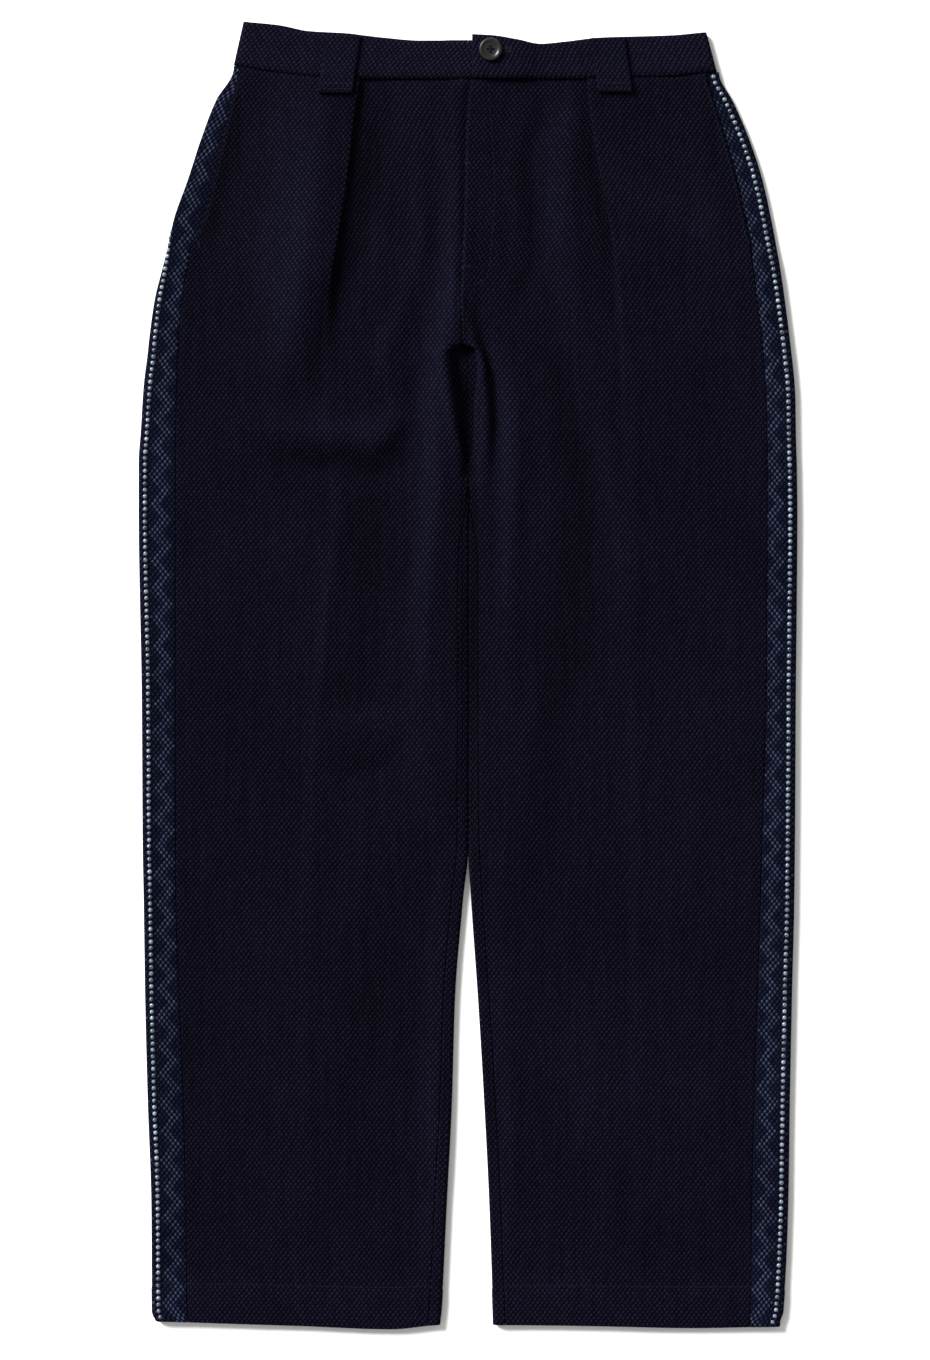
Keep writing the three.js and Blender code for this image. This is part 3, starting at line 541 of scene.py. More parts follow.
def outline_at(side, y):
    """The outline of a leg at one row, measured outwards from the middle."""
    found = {}
    for name in ("side", "seam", "inner"):
        first = read(OUTLINES[side], name, y)
        found[name] = SIGN[side] * float(read(OUTLINES[side], name, y + sag(side, first, y)))
    return found


def bed_at(side, y, outline, across):
    """Middle surface of the top layer without the pleat."""
    across = np.asarray(across, float)
    middle = read(LEVEL, "middle", y)
    by_side = (read(LEVEL, "side", y) - middle) * np.exp(-(((across - outline["side"]) / SIDE_FALL) ** 2))
    by_inner = (read(LEVEL, "inner", y) - middle) * np.exp(-(((across - outline["inner"]) / INNER_FALL) ** 2))
    bed = middle + by_side + by_inner + fold_rise(SIGN[side] * across, y)
    return LOWEST_FRONT + np.logaddexp(0, FIRMNESS * (bed - LOWEST_FRONT)) / FIRMNESS


def pleat_at(side, y):
    """The pleat's fold at one row: its turn, tuck, radius and start, and how far it lifts the cloth."""
    turn = math.radians(float(read(PLEAT, "turn", y)))
    tuck = float(read(PLEAT, "tuck", y))
    radius = PLEAT_TURN / turn
    line = SIGN[side] * float(read(PLEAT_LINE, side, y))
    start = line + HALF + radius * math.sin(min(turn, math.pi / 2))
    drop = 2 * radius * (1 - math.cos(turn)) + tuck * math.sin(turn)
    return {"turn": turn, "tuck": tuck, "radius": radius, "start": start, "drop": drop}


def pleat_lift(pleat, across):
    """How far the pleat lifts the cloth beside it."""
    flat = pleat["start"] + pleat["tuck"]
    return np.where(across < pleat["start"], 0, pleat["drop"] * (1 - ease(flat, flat + PLEAT_FALL, across)))


def top_at(side, y, outline, across):
    """Top layer of a leg, with the pleat's lifted side."""
    return bed_at(side, y, outline, across) + pleat_lift(pleat_at(side, y), np.asarray(across, float))


def inner_fold(side, y, outline):
    """The round fold at the leg's inner edge."""
    top = float(bed_at(side, y, outline, outline["inner"] + 3))
    radius = (top - FLOOR_MID) / 2
    tangent = outline["inner"] + HALF + radius
    return radius, top, tangent, (tangent, top - radius)


def onto_fold(side, y, outline, across):
    """Middle surface where the top layer runs level onto the inner fold."""
    _, top, tangent, _ = inner_fold(side, y, outline)
    return top + (bed_at(side, y, outline, across) - top) * ease(tangent, tangent + 4, across)


def lengths(path):
    """Length along a path up to each of its points."""
    return np.concatenate([[0], np.cumsum(np.hypot(*np.diff(path, axis=0).T))])


def points_at(path, places):
    """Points of a path at lengths along it."""
    sums = lengths(path)
    return np.stack([np.interp(places, sums, path[:, 0]), np.interp(places, sums, path[:, 1])], 1)


def straight(start, end, count, height):
    """A path straight across in a count of steps, at the height that a function gives."""
    across = np.linspace(start, end, count + 1)
    return np.stack([across, np.broadcast_to(height(across), across.shape)], 1)


def arc(centre, radius, start, end, count):
    angle = np.radians(np.linspace(start, end, count + 1))
    return np.stack([centre[0] + radius * np.cos(angle), centre[1] + radius * np.sin(angle)], 1)


def with_round_ends(path):
    """The path with extra points near both ends, where the cloth's edge rounds off."""
    sums = lengths(path)
    total = sums[-1]
    reach = min(ROUND_REACH, total / 3)
    keep = 1.5 * ROUNDING
    spread = [keep, reach, total - reach, total - keep]
    inside = np.interp(sums[1:-1], [0, reach, total - reach, total], spread)
    near = np.array(ROUND_STEPS)
    return points_at(path, np.concatenate([near, inside, (total - near)[::-1]]))


def front_path(side, y):
    """The front from its seam or pocket edge, over the pleat, to the fly edge or inseam."""
    outline = outline_at(side, y)
    pleat = pleat_at(side, y)
    turn, tuck, radius, start, drop = (pleat[k] for k in ("turn", "tuck", "radius", "start", "drop"))
    edge = outline["seam"] - (SEAM_GAP / 2 if y < POCKET_FOOT else 0)
    flat = start + max(tuck, PLEAT_LEAST)
    outer = straight(edge, flat, OUTER_STEPS, lambda a: pleat_lift(pleat, a))
    over = straight(flat, start, OVER_STEPS, lambda a: np.full(a.shape, drop))[1:]
    angles = turn * np.linspace(0, 1, TURN_STEPS + 1)[1:]
    first = np.stack([start - radius * np.sin(angles), drop - radius * (1 - np.cos(angles))], 1)
    under_x, under_z = first[-1]
    run = np.linspace(0, tuck, UNDER_STEPS + 1)[1:]
    under = np.stack([under_x - run * math.cos(turn), under_z - run * math.sin(turn)], 1)
    second_x, second_z = under[-1]
    angles = turn * np.linspace(1, 0, TURN_STEPS + 1)[1:]
    second = np.stack([
        second_x - radius * (math.sin(turn) - np.sin(angles)),
        second_z - radius * (np.cos(angles) - math.cos(turn)),
    ], 1)
    folded = np.concatenate([outer, over, first, under, second])
    folded[:, 1] += bed_at(side, y, outline, folded[:, 0])
    stretch = inner_stretch(side, y, outline, folded[-1, 0])
    coarse = lengths(stretch)[-1] - EDGE_STRETCH
    crowded = coarse * (1 - np.linspace(1, 0, STRETCH_STEPS + 1)[1:] ** STRETCH_CROWDING)
    places = np.concatenate([crowded, coarse + np.linspace(0, EDGE_STRETCH, EDGE_STEPS + 1)[1:]])
    path = np.concatenate([folded, points_at(stretch, places)])
    return with_round_ends(path), lengths(folded)[OUTER_STEPS + OVER_STEPS]


def fly_height(side, y, outline, across):
    """Middle surface by the fly, where the right front dips under the left one's stitched double edge."""
    bed = bed_at(side, y, outline, across)
    inner = outline["inner"]
    if side == "right":
        return bed - LAYER * ease(FLY_DIP_START, FLY_FOOT, y) * ease(inner + 5.5, inner + 1, across)
    over = FLY_RAISE * ease(FLY_FOOT, FLY_FULL, y)
    stitch = float(read(FLY_STITCH, "x", y))
    groove = FLY_GROOVE * over * np.exp(-(((across - stitch) / FLY_GROOVE_WIDTH) ** 2))
    return bed + over * ease(stitch + 5, stitch - 1, across) - groove


def inner_stretch(side, y, outline, beyond):
    """The front's stretch from the pleat to its inner edge, as a fine path."""
    if y > CROTCH_ROLLED + 1:
        end = outline["inner"]
        if side == "right":
            end += SEAM_GAP - FLY_UNDERLAP * float(ease(FLY_FOOT, FLY_FULL, y))
        return straight(beyond, end, FINE_STEPS, lambda a: fly_height(side, y, outline, a))
    radius, top, tangent, centre = inner_fold(side, y, outline)
    turn = float(read(INSEAM, "turn", y))
    inset = float(read(INSEAM, "inset", y)) + SEAM_GAP / 2
    end = tangent + (inset if turn < 1 else 0)
    onto = straight(beyond, end, FINE_STEPS, lambda a: onto_fold(side, y, outline, a))
    if y > CROTCH_FOOT:
        rolled = arc(centre, radius, 90, 180, ROLL_STEPS)[1:]
        return np.concatenate([onto, rolled, [(tangent - radius, LAYER)]])
    if turn < 1:
        return onto
    gap_turn = math.degrees(INSEAM_GAP / 2 / radius)
    return np.concatenate([onto, arc(centre, radius, 90, 90 + turn - gap_turn, ROLL_STEPS)[1:]])


def offset(path, distance):
    """The path moved to its right as it runs, by a distance at each point, with mitred corners."""
    step = np.diff(path, axis=0)
    step /= np.linalg.norm(step, axis=1)[:, None]
    normal = np.stack([step[:, 1], -step[:, 0]], 1)
    before = np.concatenate([normal[:1], normal])
    after = np.concatenate([normal, normal[-1:]])
    share = 1 + (before * after).sum(1)
    return path + np.asarray(distance)[:, None] * (before + after) / share[:, None]


def edge_fullness(distance):
    """How full the cloth is at a distance from its edge: 1 away from it, and rounding off at it."""
    near = np.clip(distance / ROUNDING, 0, 1)
    return 0.2 + 0.8 * np.sqrt(1 - (1 - near) ** 2)


def wall(name, sign, sections, material):
    """A closed shell of cloth through sections: a path, places along the leg, a reference and thicknesses."""
    count = len(sections[0]["path"])
    rings = np.empty((len(sections), 2, count, 3))
    cloth = np.empty((len(sections), 2, count, 2))
    crest = np.zeros((len(sections), 2, count))
    for row, section in enumerate(sections):
        path = section["path"]
        sums = lengths(path)
        full = edge_fullness(np.minimum(sums, sums[-1] - sums)) * section.get("full", 1)
        for face, distance in enumerate((section["outside"], -section["inside"])):
            moved = offset(path, full * distance)
            rings[row, face, :, 0] = sign * moved[:, 0]
            rings[row, face, :, 1] = section["along"]
            rings[row, face, :, 2] = moved[:, 1]
        cloth[row, :, :, 0] = sign * (section["reference"] - sums)
        cloth[row, :, :, 1] = section["along"]
        crest[row] = section.get("crest", 0)
    index = np.arange(rings.size // 3).reshape(len(sections), 2, count)
    outer, inner = index[:, 0], index[:, 1]

    def quads(a, b, c, d):
        return np.stack([a, b, c, d], -1).reshape(-1, 4)

    faces = np.concatenate([
        quads(outer[:-1, :-1], outer[:-1, 1:], outer[1:, 1:], outer[1:, :-1]),
        quads(inner[:-1, :-1], inner[1:, :-1], inner[1:, 1:], inner[:-1, 1:]),
        quads(outer[:-1, 0], outer[1:, 0], inner[1:, 0], inner[:-1, 0]),
        quads(outer[:-1, -1], inner[:-1, -1], inner[1:, -1], outer[1:, -1]),
        quads(outer[0, :-1], inner[0, :-1], inner[0, 1:], outer[0, 1:]),
        quads(outer[-1, :-1], outer[-1, 1:], inner[-1, 1:], inner[-1, :-1]),
    ])
    if sign > 0:
        faces = faces[:, ::-1]
    mesh = bpy.data.meshes.new(name)
    mesh.from_pydata((rings.reshape(-1, 3) * MM).tolist(), [], faces.tolist())
    uv = mesh.uv_layers.new(name="cloth")
    uv.data.foreach_set("uv", (cloth.reshape(-1, 2)[faces.reshape(-1)] * MM).ravel())
    # The crest attribute carries each point's fold rise into the material, which paints light on crests and
    # shade in troughs from it.
    fold_shade_attribute = mesh.attributes.new("crest", "FLOAT", "POINT")
    fold_shade_attribute.data.foreach_set("value", crest.ravel())
    mesh.polygons.foreach_set("use_smooth", [True] * len(faces))
    mesh.materials.append(material)
    mesh.update()
    return new_object(name, mesh)


def leg_rows():
    """The rows of a leg's sections, closer together at both ends, in the hem and by the crotch."""
    near = np.array(ROUND_STEPS[:-1])
    in_hem = np.arange(HEM_EDGE + 2 * ROUNDING, HEM_FOLD_TOP + 4, HEM_ROW_STEP)
    fine = np.concatenate([in_hem, np.arange(HEM_FOLD_TOP + 6, WAIST_SEAM - 2, ROW_STEP)])
    around = np.arange(CROTCH_ROLLED - 3, CROTCH_ROLLED + 8, 1.0)
    return np.unique(np.concatenate([HEM_EDGE + near, fine, around, WAIST_SEAM - near]))


def panel(name, side, path_at, material, tuck_under=0.0):
    """A leg's panel, from the hem to the waist seam, whose top edge may dip under the waistband."""
    sections = []
    for y in leg_rows():
        path, reference = path_at(side, y)
        path[:, 1] -= 1.1 * tuck_under * float(ease(WAIST_SEAM - 7, WAIST_SEAM, y))
        x = SIGN[side] * path[:, 0]
        in_hem = 1 - float(ease(HEM_FOLD_TOP - 4, HEM_FOLD_TOP + 4, y))
        groove = HEM_GROOVE * math.exp(-(((y - HEM_GROOVE_MIDDLE) / HEM_GROOVE_WIDTH) ** 2))
        relief = HEM_RELIEF * in_hem * ease(FLOOR_MID + 1, FLOOR_MID + 3, path[:, 1])
        at_waist = float(ease(WAIST_SEAM - 6, WAIST_SEAM, y))
        sections.append({
            "path": path,
            "along": y + sag(side, x, y) + (tuck_under - WAIST_GAP) * at_waist,
            "reference": reference,
            "outside": HALF - groove + relief,
            "inside": CLOTH + (HEM_CLOTH - CLOTH) * in_hem - HALF,
            "full": float(edge_fullness(min(y - HEM_EDGE, WAIST_SEAM - y))),
            # The fold rise, with more added on the hem, becomes painted light and shade in the cloth's
            # colour.
            "crest": fold_rise(x, y) + HEM_PAINTED_LIGHT * in_hem,
        })
    return wall(name, SIGN[side], sections, material)


def calculate(tree, operation, *values, clamp=False):
    """A math node's output."""
    inputs = {f"i{k}": v for k, v in enumerate(values)}
    return add_node(tree, "ShaderNodeMath", {"operation": operation, "use_clamp": clamp}, **inputs).outputs[0]


def group_with(name, kind, inputs, outputs):
    """A node group with named sockets, each of its own kind, and what it is given and puts out."""
    made = bpy.data.node_groups.new(name, kind)
    for in_out, sockets in (("INPUT", inputs), ("OUTPUT", outputs)):
        for socket, kind_of_socket in sockets.items():
            made.interface.new_socket(name=socket, in_out=in_out, socket_type="NodeSocket" + kind_of_socket)
    return made, made.nodes.new("NodeGroupInput").outputs, made.nodes.new("NodeGroupOutput").inputs


# Sashiko weave: plump stitches like grains of rice, in rows that are offset by half a stitch
WEAVE_DRIFT = 1.6 * MM
weave, given, weave_out = group_with(
    "sashiko_weave", "ShaderNodeTree", {"Cloth": "Vector", "Across": "Float", "Along": "Float"},
    {"Grain": "Float", "Tone": "Float", "Centre": "Vector"},
)
parts = add_node(weave, "ShaderNodeSeparateXYZ", Vector=given["Cloth"])
wander = calculate(weave, "SUBTRACT", noise(weave, given["Cloth"], 90, 1), 0.5)
drift = calculate(weave, "MULTIPLY", wander, WEAVE_DRIFT)
across = calculate(weave, "DIVIDE", calculate(weave, "ADD", parts.outputs["X"], drift), given["Across"])
along = calculate(weave, "DIVIDE", calculate(weave, "SUBTRACT", parts.outputs["Y"], drift), given["Along"])
wave_across = calculate(weave, "COSINE", calculate(weave, "MULTIPLY", across, 2 * math.pi))
wave_along = calculate(weave, "COSINE", calculate(weave, "MULTIPLY", along, math.pi))
waves = calculate(weave, "MULTIPLY", wave_across, wave_along)
grain = ranged(weave, waves, {"interpolation_type": "SMOOTHSTEP"}, From_Min=-0.3, From_Max=0.8)
row = calculate(weave, "ROUND", along)
shift = calculate(weave, "MULTIPLY", calculate(weave, "FLOORED_MODULO", row, 2), 0.5)
column = calculate(weave, "ROUND", calculate(weave, "SUBTRACT", across, shift))
stitch = add_node(weave, "ShaderNodeCombineXYZ", X=column, Y=row)
tone = add_node(weave, "ShaderNodeTexWhiteNoise", Vector=stitch.outputs[0])
centre = add_node(
    weave, "ShaderNodeCombineXYZ",
    X=calculate(weave, "MULTIPLY", calculate(weave, "ADD", column, shift), given["Across"]),
    Y=calculate(weave, "MULTIPLY", row, given["Along"]),
)
weave.links.new(grain, weave_out["Grain"])
weave.links.new(tone.outputs["Value"], weave_out["Tone"])
weave.links.new(centre.outputs[0], weave_out["Centre"])

# Dye and painted shade: the dye faded in broad patches and in streaks along the warp, the fuzz of the yarn,
# and painted light on the crests of folds with painted shade in their troughs
STREAK_SQUEEZE = (1, 0.07, 1)
wear, given, fade_and_shade_out = group_with(
    "dye_wear", "ShaderNodeTree", {"Place": "Vector", "Crest": "Float"}, {"Fade": "Float", "Fuzz": "Float"},
)
place = given["Place"]
squeezed = add_node(wear, "ShaderNodeVectorMath", {"operation": "MULTIPLY"}, i0=place, i1=STREAK_SQUEEZE)
broad = noise(wear, place, 8, 3, Roughness=0.5)
streak = noise(wear, squeezed.outputs[0], 230, 3, Roughness=0.6)
mottle = calculate(wear, "MULTIPLY_ADD", broad, 0.34, calculate(wear, "MULTIPLY_ADD", streak, 0.4, 0.13))
# Painted light and shade: fold crests come out paler and fold troughs darker.
crest = ranged(wear, given["Crest"], From_Min=-4, From_Max=3.4, To_Min=-0.3, To_Max=0.22)
wear.links.new(calculate(wear, "ADD", mottle, crest), fade_and_shade_out["Fade"])
wear.links.new(noise(wear, place, 1800, 2, Roughness=0.7), fade_and_shade_out["Fuzz"])


def cloth_tree(tree, across, along):
    """What the weave group and the fade and shade group put out in a material, with its cloth coordinates."""
    uv = add_node(tree, "ShaderNodeUVMap", {"uv_map": "cloth"}).outputs[0]
    crest = add_node(tree, "ShaderNodeAttribute", {"attribute_name": "crest"}).outputs["Fac"]
    weaving = add_node(tree, "ShaderNodeGroup", {"node_tree": weave}, Cloth=uv, Across=across, Along=along)
    fade_and_shade = add_node(tree, "ShaderNodeGroup", {"node_tree": wear}, Place=object_place(tree), Crest=crest)
    return weaving.outputs, fade_and_shade.outputs


def finish_cloth(tree, weaving, fade_and_shade, ground, stitch, relief):
    """Mixes ground and stitches, fades them, paints light on fold crests and shade in fold troughs, and adds
    the relief of the weave.
    """
    tone = calculate(tree, "ADD", calculate(tree, "MULTIPLY", weaving["Tone"], 0.6), 0.55)
    stitched = mixed(tree, calculate(tree, "MULTIPLY", weaving["Grain"], tone), ground, stitch)
    # Multiplies the colour by the faded dye and by the painted light and shade of the folds.
    fading_and_shading = ranged(tree, fade_and_shade["Fade"], From_Min=0.2, From_Max=0.8, To_Min=0.4, To_Max=1.6)
    height = calculate(tree, "ADD", weaving["Grain"], calculate(tree, "MULTIPLY", fade_and_shade["Fuzz"], 0.22))
    bump = add_node(tree, "ShaderNodeBump", Height=height, Distance=relief, Strength=1.0)
    finish_material(
        tree, Base_Color=mixed(tree, 1.0, stitched, fading_and_shading, "MULTIPLY"), Normal=bump.outputs[0],
        Roughness=ranged(tree, fade_and_shade["Fuzz"], To_Min=0.75, To_Max=1.0), Specular_IOR_Level=0.015,
    )


WEAVE_ACROSS = 3.85 * MM
WEAVE_ALONG = 2.45 * MM
WEAVE_RELIEF = 0.7 * MM


def cloth_material(name, ground, stitch):
    """Indigo cotton: dark ground between paler plump stitches, faded here and there, with painted light on
    fold crests, painted shade in fold troughs and a little fuzz.
    """
    made, tree = new_material(name)
    finish_cloth(tree, *cloth_tree(tree, WEAVE_ACROSS, WEAVE_ALONG), ground, stitch, WEAVE_RELIEF)
    return made


INDIGO_GROUND = (0.0013, 0.0011, 0.0034, 1)
INDIGO_STITCH = (0.0061, 0.0059, 0.0130, 1)
indigo = cloth_material("indigo_cotton", INDIGO_GROUND, INDIGO_STITCH)
for side in SIGN:
    front = panel(f"front_{side}_cloth", side, front_path, indigo, tuck_under=0.3)
    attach(front, "root")
    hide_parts(f"front_{side}")

# Side bands
# A strip of bluer cotton in the same weave down each outer side, with a zigzag mirrored about its middle.
# It wraps the side fold, is sewn to the front and the back, and runs on under the pocket's edge.
BAND_UNDER = 17
BAND_CROWN = 3.5
BAND_FLAT_STEPS = (5, 14)
BAND_TURN_STEPS = 14
# How far the row of studs lies from the side fold, measured over the band
BEAD_SHIFTS = {
    "right": table("y shift", [(-515, 6.2), (230, 6.2), (300, 5), (345, 1), (385, -4), (480, -6)]),
    "left": table("y shift", [(-515, 6.6), (300, 6.6), (440, 6.2), (480, 5)]),
}


def band_path(side, y):
    """The band from its back seam, round the side fold, to its front seam or its edge under the pocket."""
    outline = outline_at(side, y)
    dip = LAYER * float(ease(POCKET_DIP_START, POCKET_FOOT, y))
    crown = float(top_at(side, y, outline, outline["side"] - BAND_CROWN)) - dip
    radius = (crown - FLOOR_MID) / 2
    tangent = outline["side"] - HALF - radius
    edge = outline["seam"] + SEAM_GAP / 2 - POCKET_UNDERLAP * float(ease(POCKET_FOOT, POCKET_FULL, y))

    def blend(a):
        share = ease(tangent, tangent - 4, a)
        return crown + (top_at(side, y, outline, a) - dip - crown) * share

    under, over = BAND_FLAT_STEPS
    start = outline["side"] - BAND_UNDER + SEAM_GAP / 2
    path = np.concatenate([
        straight(start, tangent, under, lambda a: np.full(a.shape, FLOOR_MID)),
        arc((tangent, FLOOR_MID + radius), radius, -90, 90, BAND_TURN_STEPS)[1:],
        straight(tangent, edge, over, blend)[1:],
    ])
    apex = lengths(path)[under + BAND_TURN_STEPS // 2]
    return with_round_ends(path), apex + float(read(BEAD_SHIFTS[side], "shift", y))


ZIGZAG_PERIOD = 22.5 * MM
ZIGZAG_START = 7.5 * MM
ZIGZAG_REACH = 9 * MM
ZIGZAG_HALF = 4.4 * MM
BAND_GROUND = (0.0013, 0.0016, 0.0056, 1)
BAND_STITCH = (0.0074, 0.0086, 0.0200, 1)
BAND_PALE = (0.031, 0.039, 0.071, 1)
BAND_WEAVE = (3.9 * MM, 2.55 * MM)
BAND_RELIEF = 0.8 * MM

# The same weave in faded blue, with a zigzag of paler stitches on both sides of the row of studs
blue_band, tree = new_material("blue_band_cotton")
weaving, fade_and_shade = cloth_tree(tree, *BAND_WEAVE)
parts = add_node(tree, "ShaderNodeSeparateXYZ", Vector=weaving["Centre"])
from_middle = calculate(tree, "ABSOLUTE", parts.outputs["X"])
swing = calculate(tree, "PINGPONG", parts.outputs["Y"], ZIGZAG_PERIOD / 2)
line = calculate(tree, "MULTIPLY_ADD", swing, 2 * ZIGZAG_REACH / ZIGZAG_PERIOD, ZIGZAG_START)
away = calculate(tree, "ABSOLUTE", calculate(tree, "SUBTRACT", from_middle, line))
zigzag = ranged(
    tree, away, {"interpolation_type": "SMOOTHSTEP"}, From_Min=1.4 * ZIGZAG_HALF, From_Max=0.5 * ZIGZAG_HALF,
)
tint = mixed(tree, zigzag, BAND_STITCH, BAND_PALE)
finish_cloth(tree, weaving, fade_and_shade, BAND_GROUND, tint, BAND_RELIEF)
for side in SIGN:
    band = panel(f"side_band_{side}_cloth", side, band_path, blue_band)
    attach(band, "root")
    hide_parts(f"side_band_{side}")

# Backs
# Two panels of the same indigo cotton, joined at the centre back, which lie flat on the table.
# Below the crotch each wraps the inner fold of its leg and shows as a narrow strip up to the inseam.
SEAT_LUMP = 2.4
SEAT_LUMP_PLACE = 247
SEAT_LUMP_WIDTH = 9
BACK_CREASE = 0.3
SEAT_STEPS = 20
FLOOR_STEPS = 37
BACK_TURN_STEPS = 24


def back_height(side, y, across):
    """Middle surface of the back: on the table, with shallow creases, and raised where its seam bunches."""
    x = SIGN[side] * across
    crease = np.sin(x / 21 + 1.4 * np.sin(y / 57)) * np.sin(y / 38 + x / 60)
    lump = SEAT_LUMP * math.exp(-(((y - SEAT_LUMP_PLACE) / SEAT_LUMP_WIDTH) ** 2)) * ease(11, 5, across)
    return FLOOR_MID + BACK_CREASE * np.maximum(crease, 0) * ease(24, 40, across) + lump


def back_path(side, y):
    """The back from the inseam or centre back seam, along the floor, to the band's seam."""
    outline = outline_at(side, y)
    radius, top, tangent, centre = inner_fold(side, y, outline)
    end = outline["side"] - BAND_UNDER - SEAM_GAP / 2

    def floor(a):
        height = back_height(side, y, a)
        return height + (FLOOR_MID - height) * ease(end - 12, end, a)

    if y > CROTCH_FOOT:
        start = SIGN[side] * CENTRE_BACK + CENTRE_BACK_SLIP
        spread = max(tangent, start + 4)
        near, far = straight(start, spread, SEAT_STEPS, floor), straight(spread, end, FLOOR_STEPS, floor)
        return with_round_ends(np.concatenate([near, far[1:]])), spread
    turn = float(read(INSEAM, "turn", y))
    inset = float(read(INSEAM, "inset", y)) - SEAM_GAP / 2
    if turn < 1 and inset > 0.2:
        flat_top = straight(tangent + inset, tangent, 12, lambda a: onto_fold(side, y, outline, a))
        rolled = np.concatenate([flat_top, arc(centre, radius, 90, 270, BACK_TURN_STEPS)[1:]])
    else:
        gap_turn = math.degrees(INSEAM_GAP / 2 / radius)
        rolled = arc(centre, radius, 90 + turn + gap_turn, 270, BACK_TURN_STEPS)
    rolled = points_at(rolled, lengths(rolled)[-1] * np.linspace(0, 1, SEAT_STEPS + 1))
    path = np.concatenate([rolled, straight(tangent, end, FLOOR_STEPS, floor)[1:]])
    return with_round_ends(path), lengths(rolled)[-1]


for side in SIGN:
    back = panel(f"back_{side}_cloth", side, back_path, indigo)
    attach(back, "root")
    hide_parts(f"back_{side}")

# Waistband
# A double strip of the indigo cotton in two halves, joined at the centre back and puffed over its lower seam.
# It is sewn round the top of the trousers, and its left end lies over the right one and is buttoned.
WAIST_CLOTH = 2.8
WAIST_LEVEL = 6.2
WAIST_UNDERLAP_END = 36
WAIST_OVERLAP_END = 3.2
WAIST_OVER_FADE = 60
WAIST_PLEAT_RISE = 1.0
WAIST_PLEAT_WIDTH = 22
LOOP_LIFT = 1.7
WAIST_TOPS = {
    "right": table("x front back", [
        (-186, 515.9, 515.9), (-152, 511, 513.5), (-123, 506, 508), (-95, 504.4, 506.4),
        (-66, 501.7, 503.2), (-38, 499.3, 501), (0, 498.9, 501),
    ]),
    "left": table("x front back", [
        (0, 504.8, 501), (19, 504, 500.5), (38, 501, 499.5), (57, 497.7, 498), (76, 499.3, 499.5),
        (104, 502.4, 502.5), (161, 504.4, 505), (197, 507.2, 507.2),
    ]),
}
WAIST_SIDES = {"right": (-184.9, -177.2), "left": (196.4, 188.2)}
WAIST_SECTION = table("part cloth lift", [
    (0, 1.0, -0.6),
    (0.015, 1.9, -0.35),
    (0.05, 2.7, 0.0),
    (0.12, 3.2, 0.25),
    (0.22, 3.2, 0.2),
    (0.4, 2.9, 0),
    (0.7, 2.8, -0.05),
    (0.9, 2.6, -0.1),
    (0.96, 2.1, -0.2),
    (1, 1.1, -0.45),
])
WAIST_STEPS = (60, 12, 70)
WAIST_PUCKER = 0.1
WAIST_PARTS = (0, 0.015, 0.03, 0.06, 0.1, 0.17, 0.26, 0.37, 0.48, 0.6, 0.72, 0.82, 0.9, 0.94, 0.97, 0.985, 1)
WAIST_LIFTS = table("across lift", [
    (0, LOOP_LIFT), (14.2, LOOP_LIFT), (21, 0), (85, 0), (92, LOOP_LIFT), (122, LOOP_LIFT), (129, 0),
    (160, 0),
])


def waist_level(side, x):
    """Middle height of the front of the waistband."""
    sign = SIGN[side]
    middle = read(PLEAT_LINE, side, WAIST_SEAM) + sign * 8
    pleat = WAIST_PLEAT_RISE * np.exp(-(((x - middle) / WAIST_PLEAT_WIDTH) ** 2))
    over = (WAIST_CLOTH + SEAM_GAP) * ease(WAIST_OVER_FADE, WAIST_UNDERLAP_END + 2, x) if sign > 0 else 0
    return WAIST_LEVEL + pleat + over


def waistband(name, side, material):
    """The waistband from the centre back, round the side, to its end at the fly."""
    sign = SIGN[side]
    back_mid = WAIST_CLOTH / 2
    back_steps, turn_steps, front_steps = WAIST_STEPS
    at_seam, at_top = WAIST_SIDES[side]
    sections = []
    for part in WAIST_PARTS:
        cloth = float(read(WAIST_SECTION, "cloth", part))
        lift = float(read(WAIST_SECTION, "lift", part))
        at_side = sign * (at_seam + (at_top - at_seam) * part)
        side_level = float(waist_level(side, sign * at_side)) + lift
        radius = (side_level - back_mid) / 2
        tangent = at_side - cloth / 2 - radius
        start = sign * CENTRE_BACK + CENTRE_BACK_SLIP
        end = WAIST_OVERLAP_END if sign > 0 else -WAIST_UNDERLAP_END
        back = straight(start, tangent, back_steps, lambda a: back_mid + np.interp(a, *WAIST_LIFTS.values()))
        turn = arc((tangent, back_mid + radius), radius, -90, 90, turn_steps)
        front = straight(tangent, end, front_steps, lambda a: waist_level(side, sign * a) + lift)
        path = with_round_ends(np.concatenate([back, turn[1:], front[1:]]))
        x = sign * path[:, 0]
        on_back = np.arange(len(path)) < back_steps + turn_steps // 2
        top = np.where(on_back, read(WAIST_TOPS[side], "back", x), read(WAIST_TOPS[side], "front", x))
        seam = waist_seam(side, x)
        pucker = np.sin(x / 5.3 + 2 * np.sin(x / 31)) * (0.5 + 0.5 * np.sin(x / 17))
        near_seam = math.exp(-(((part - 0.12) / 0.12) ** 2))
        sections.append({
            "path": path,
            "along": seam + (top - seam) * part,
            "reference": lengths(path)[on_back.sum()],
            "outside": cloth / 2 + WAIST_PUCKER * pucker * near_seam * ~on_back,
            "inside": cloth / 2,
        })
    return wall(name, sign, sections, material)


WAIST_GROUND = (0.0018, 0.0015, 0.0047, 1)
WAIST_STITCH = (0.0085, 0.0082, 0.0176, 1)
waist_cotton = cloth_material("waist_cotton", WAIST_GROUND, WAIST_STITCH)
for side in SIGN:
    band = waistband(f"waistband_{side}_cloth", side, waist_cotton)
    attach(band, "root")
    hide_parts(f"waistband_{side}")

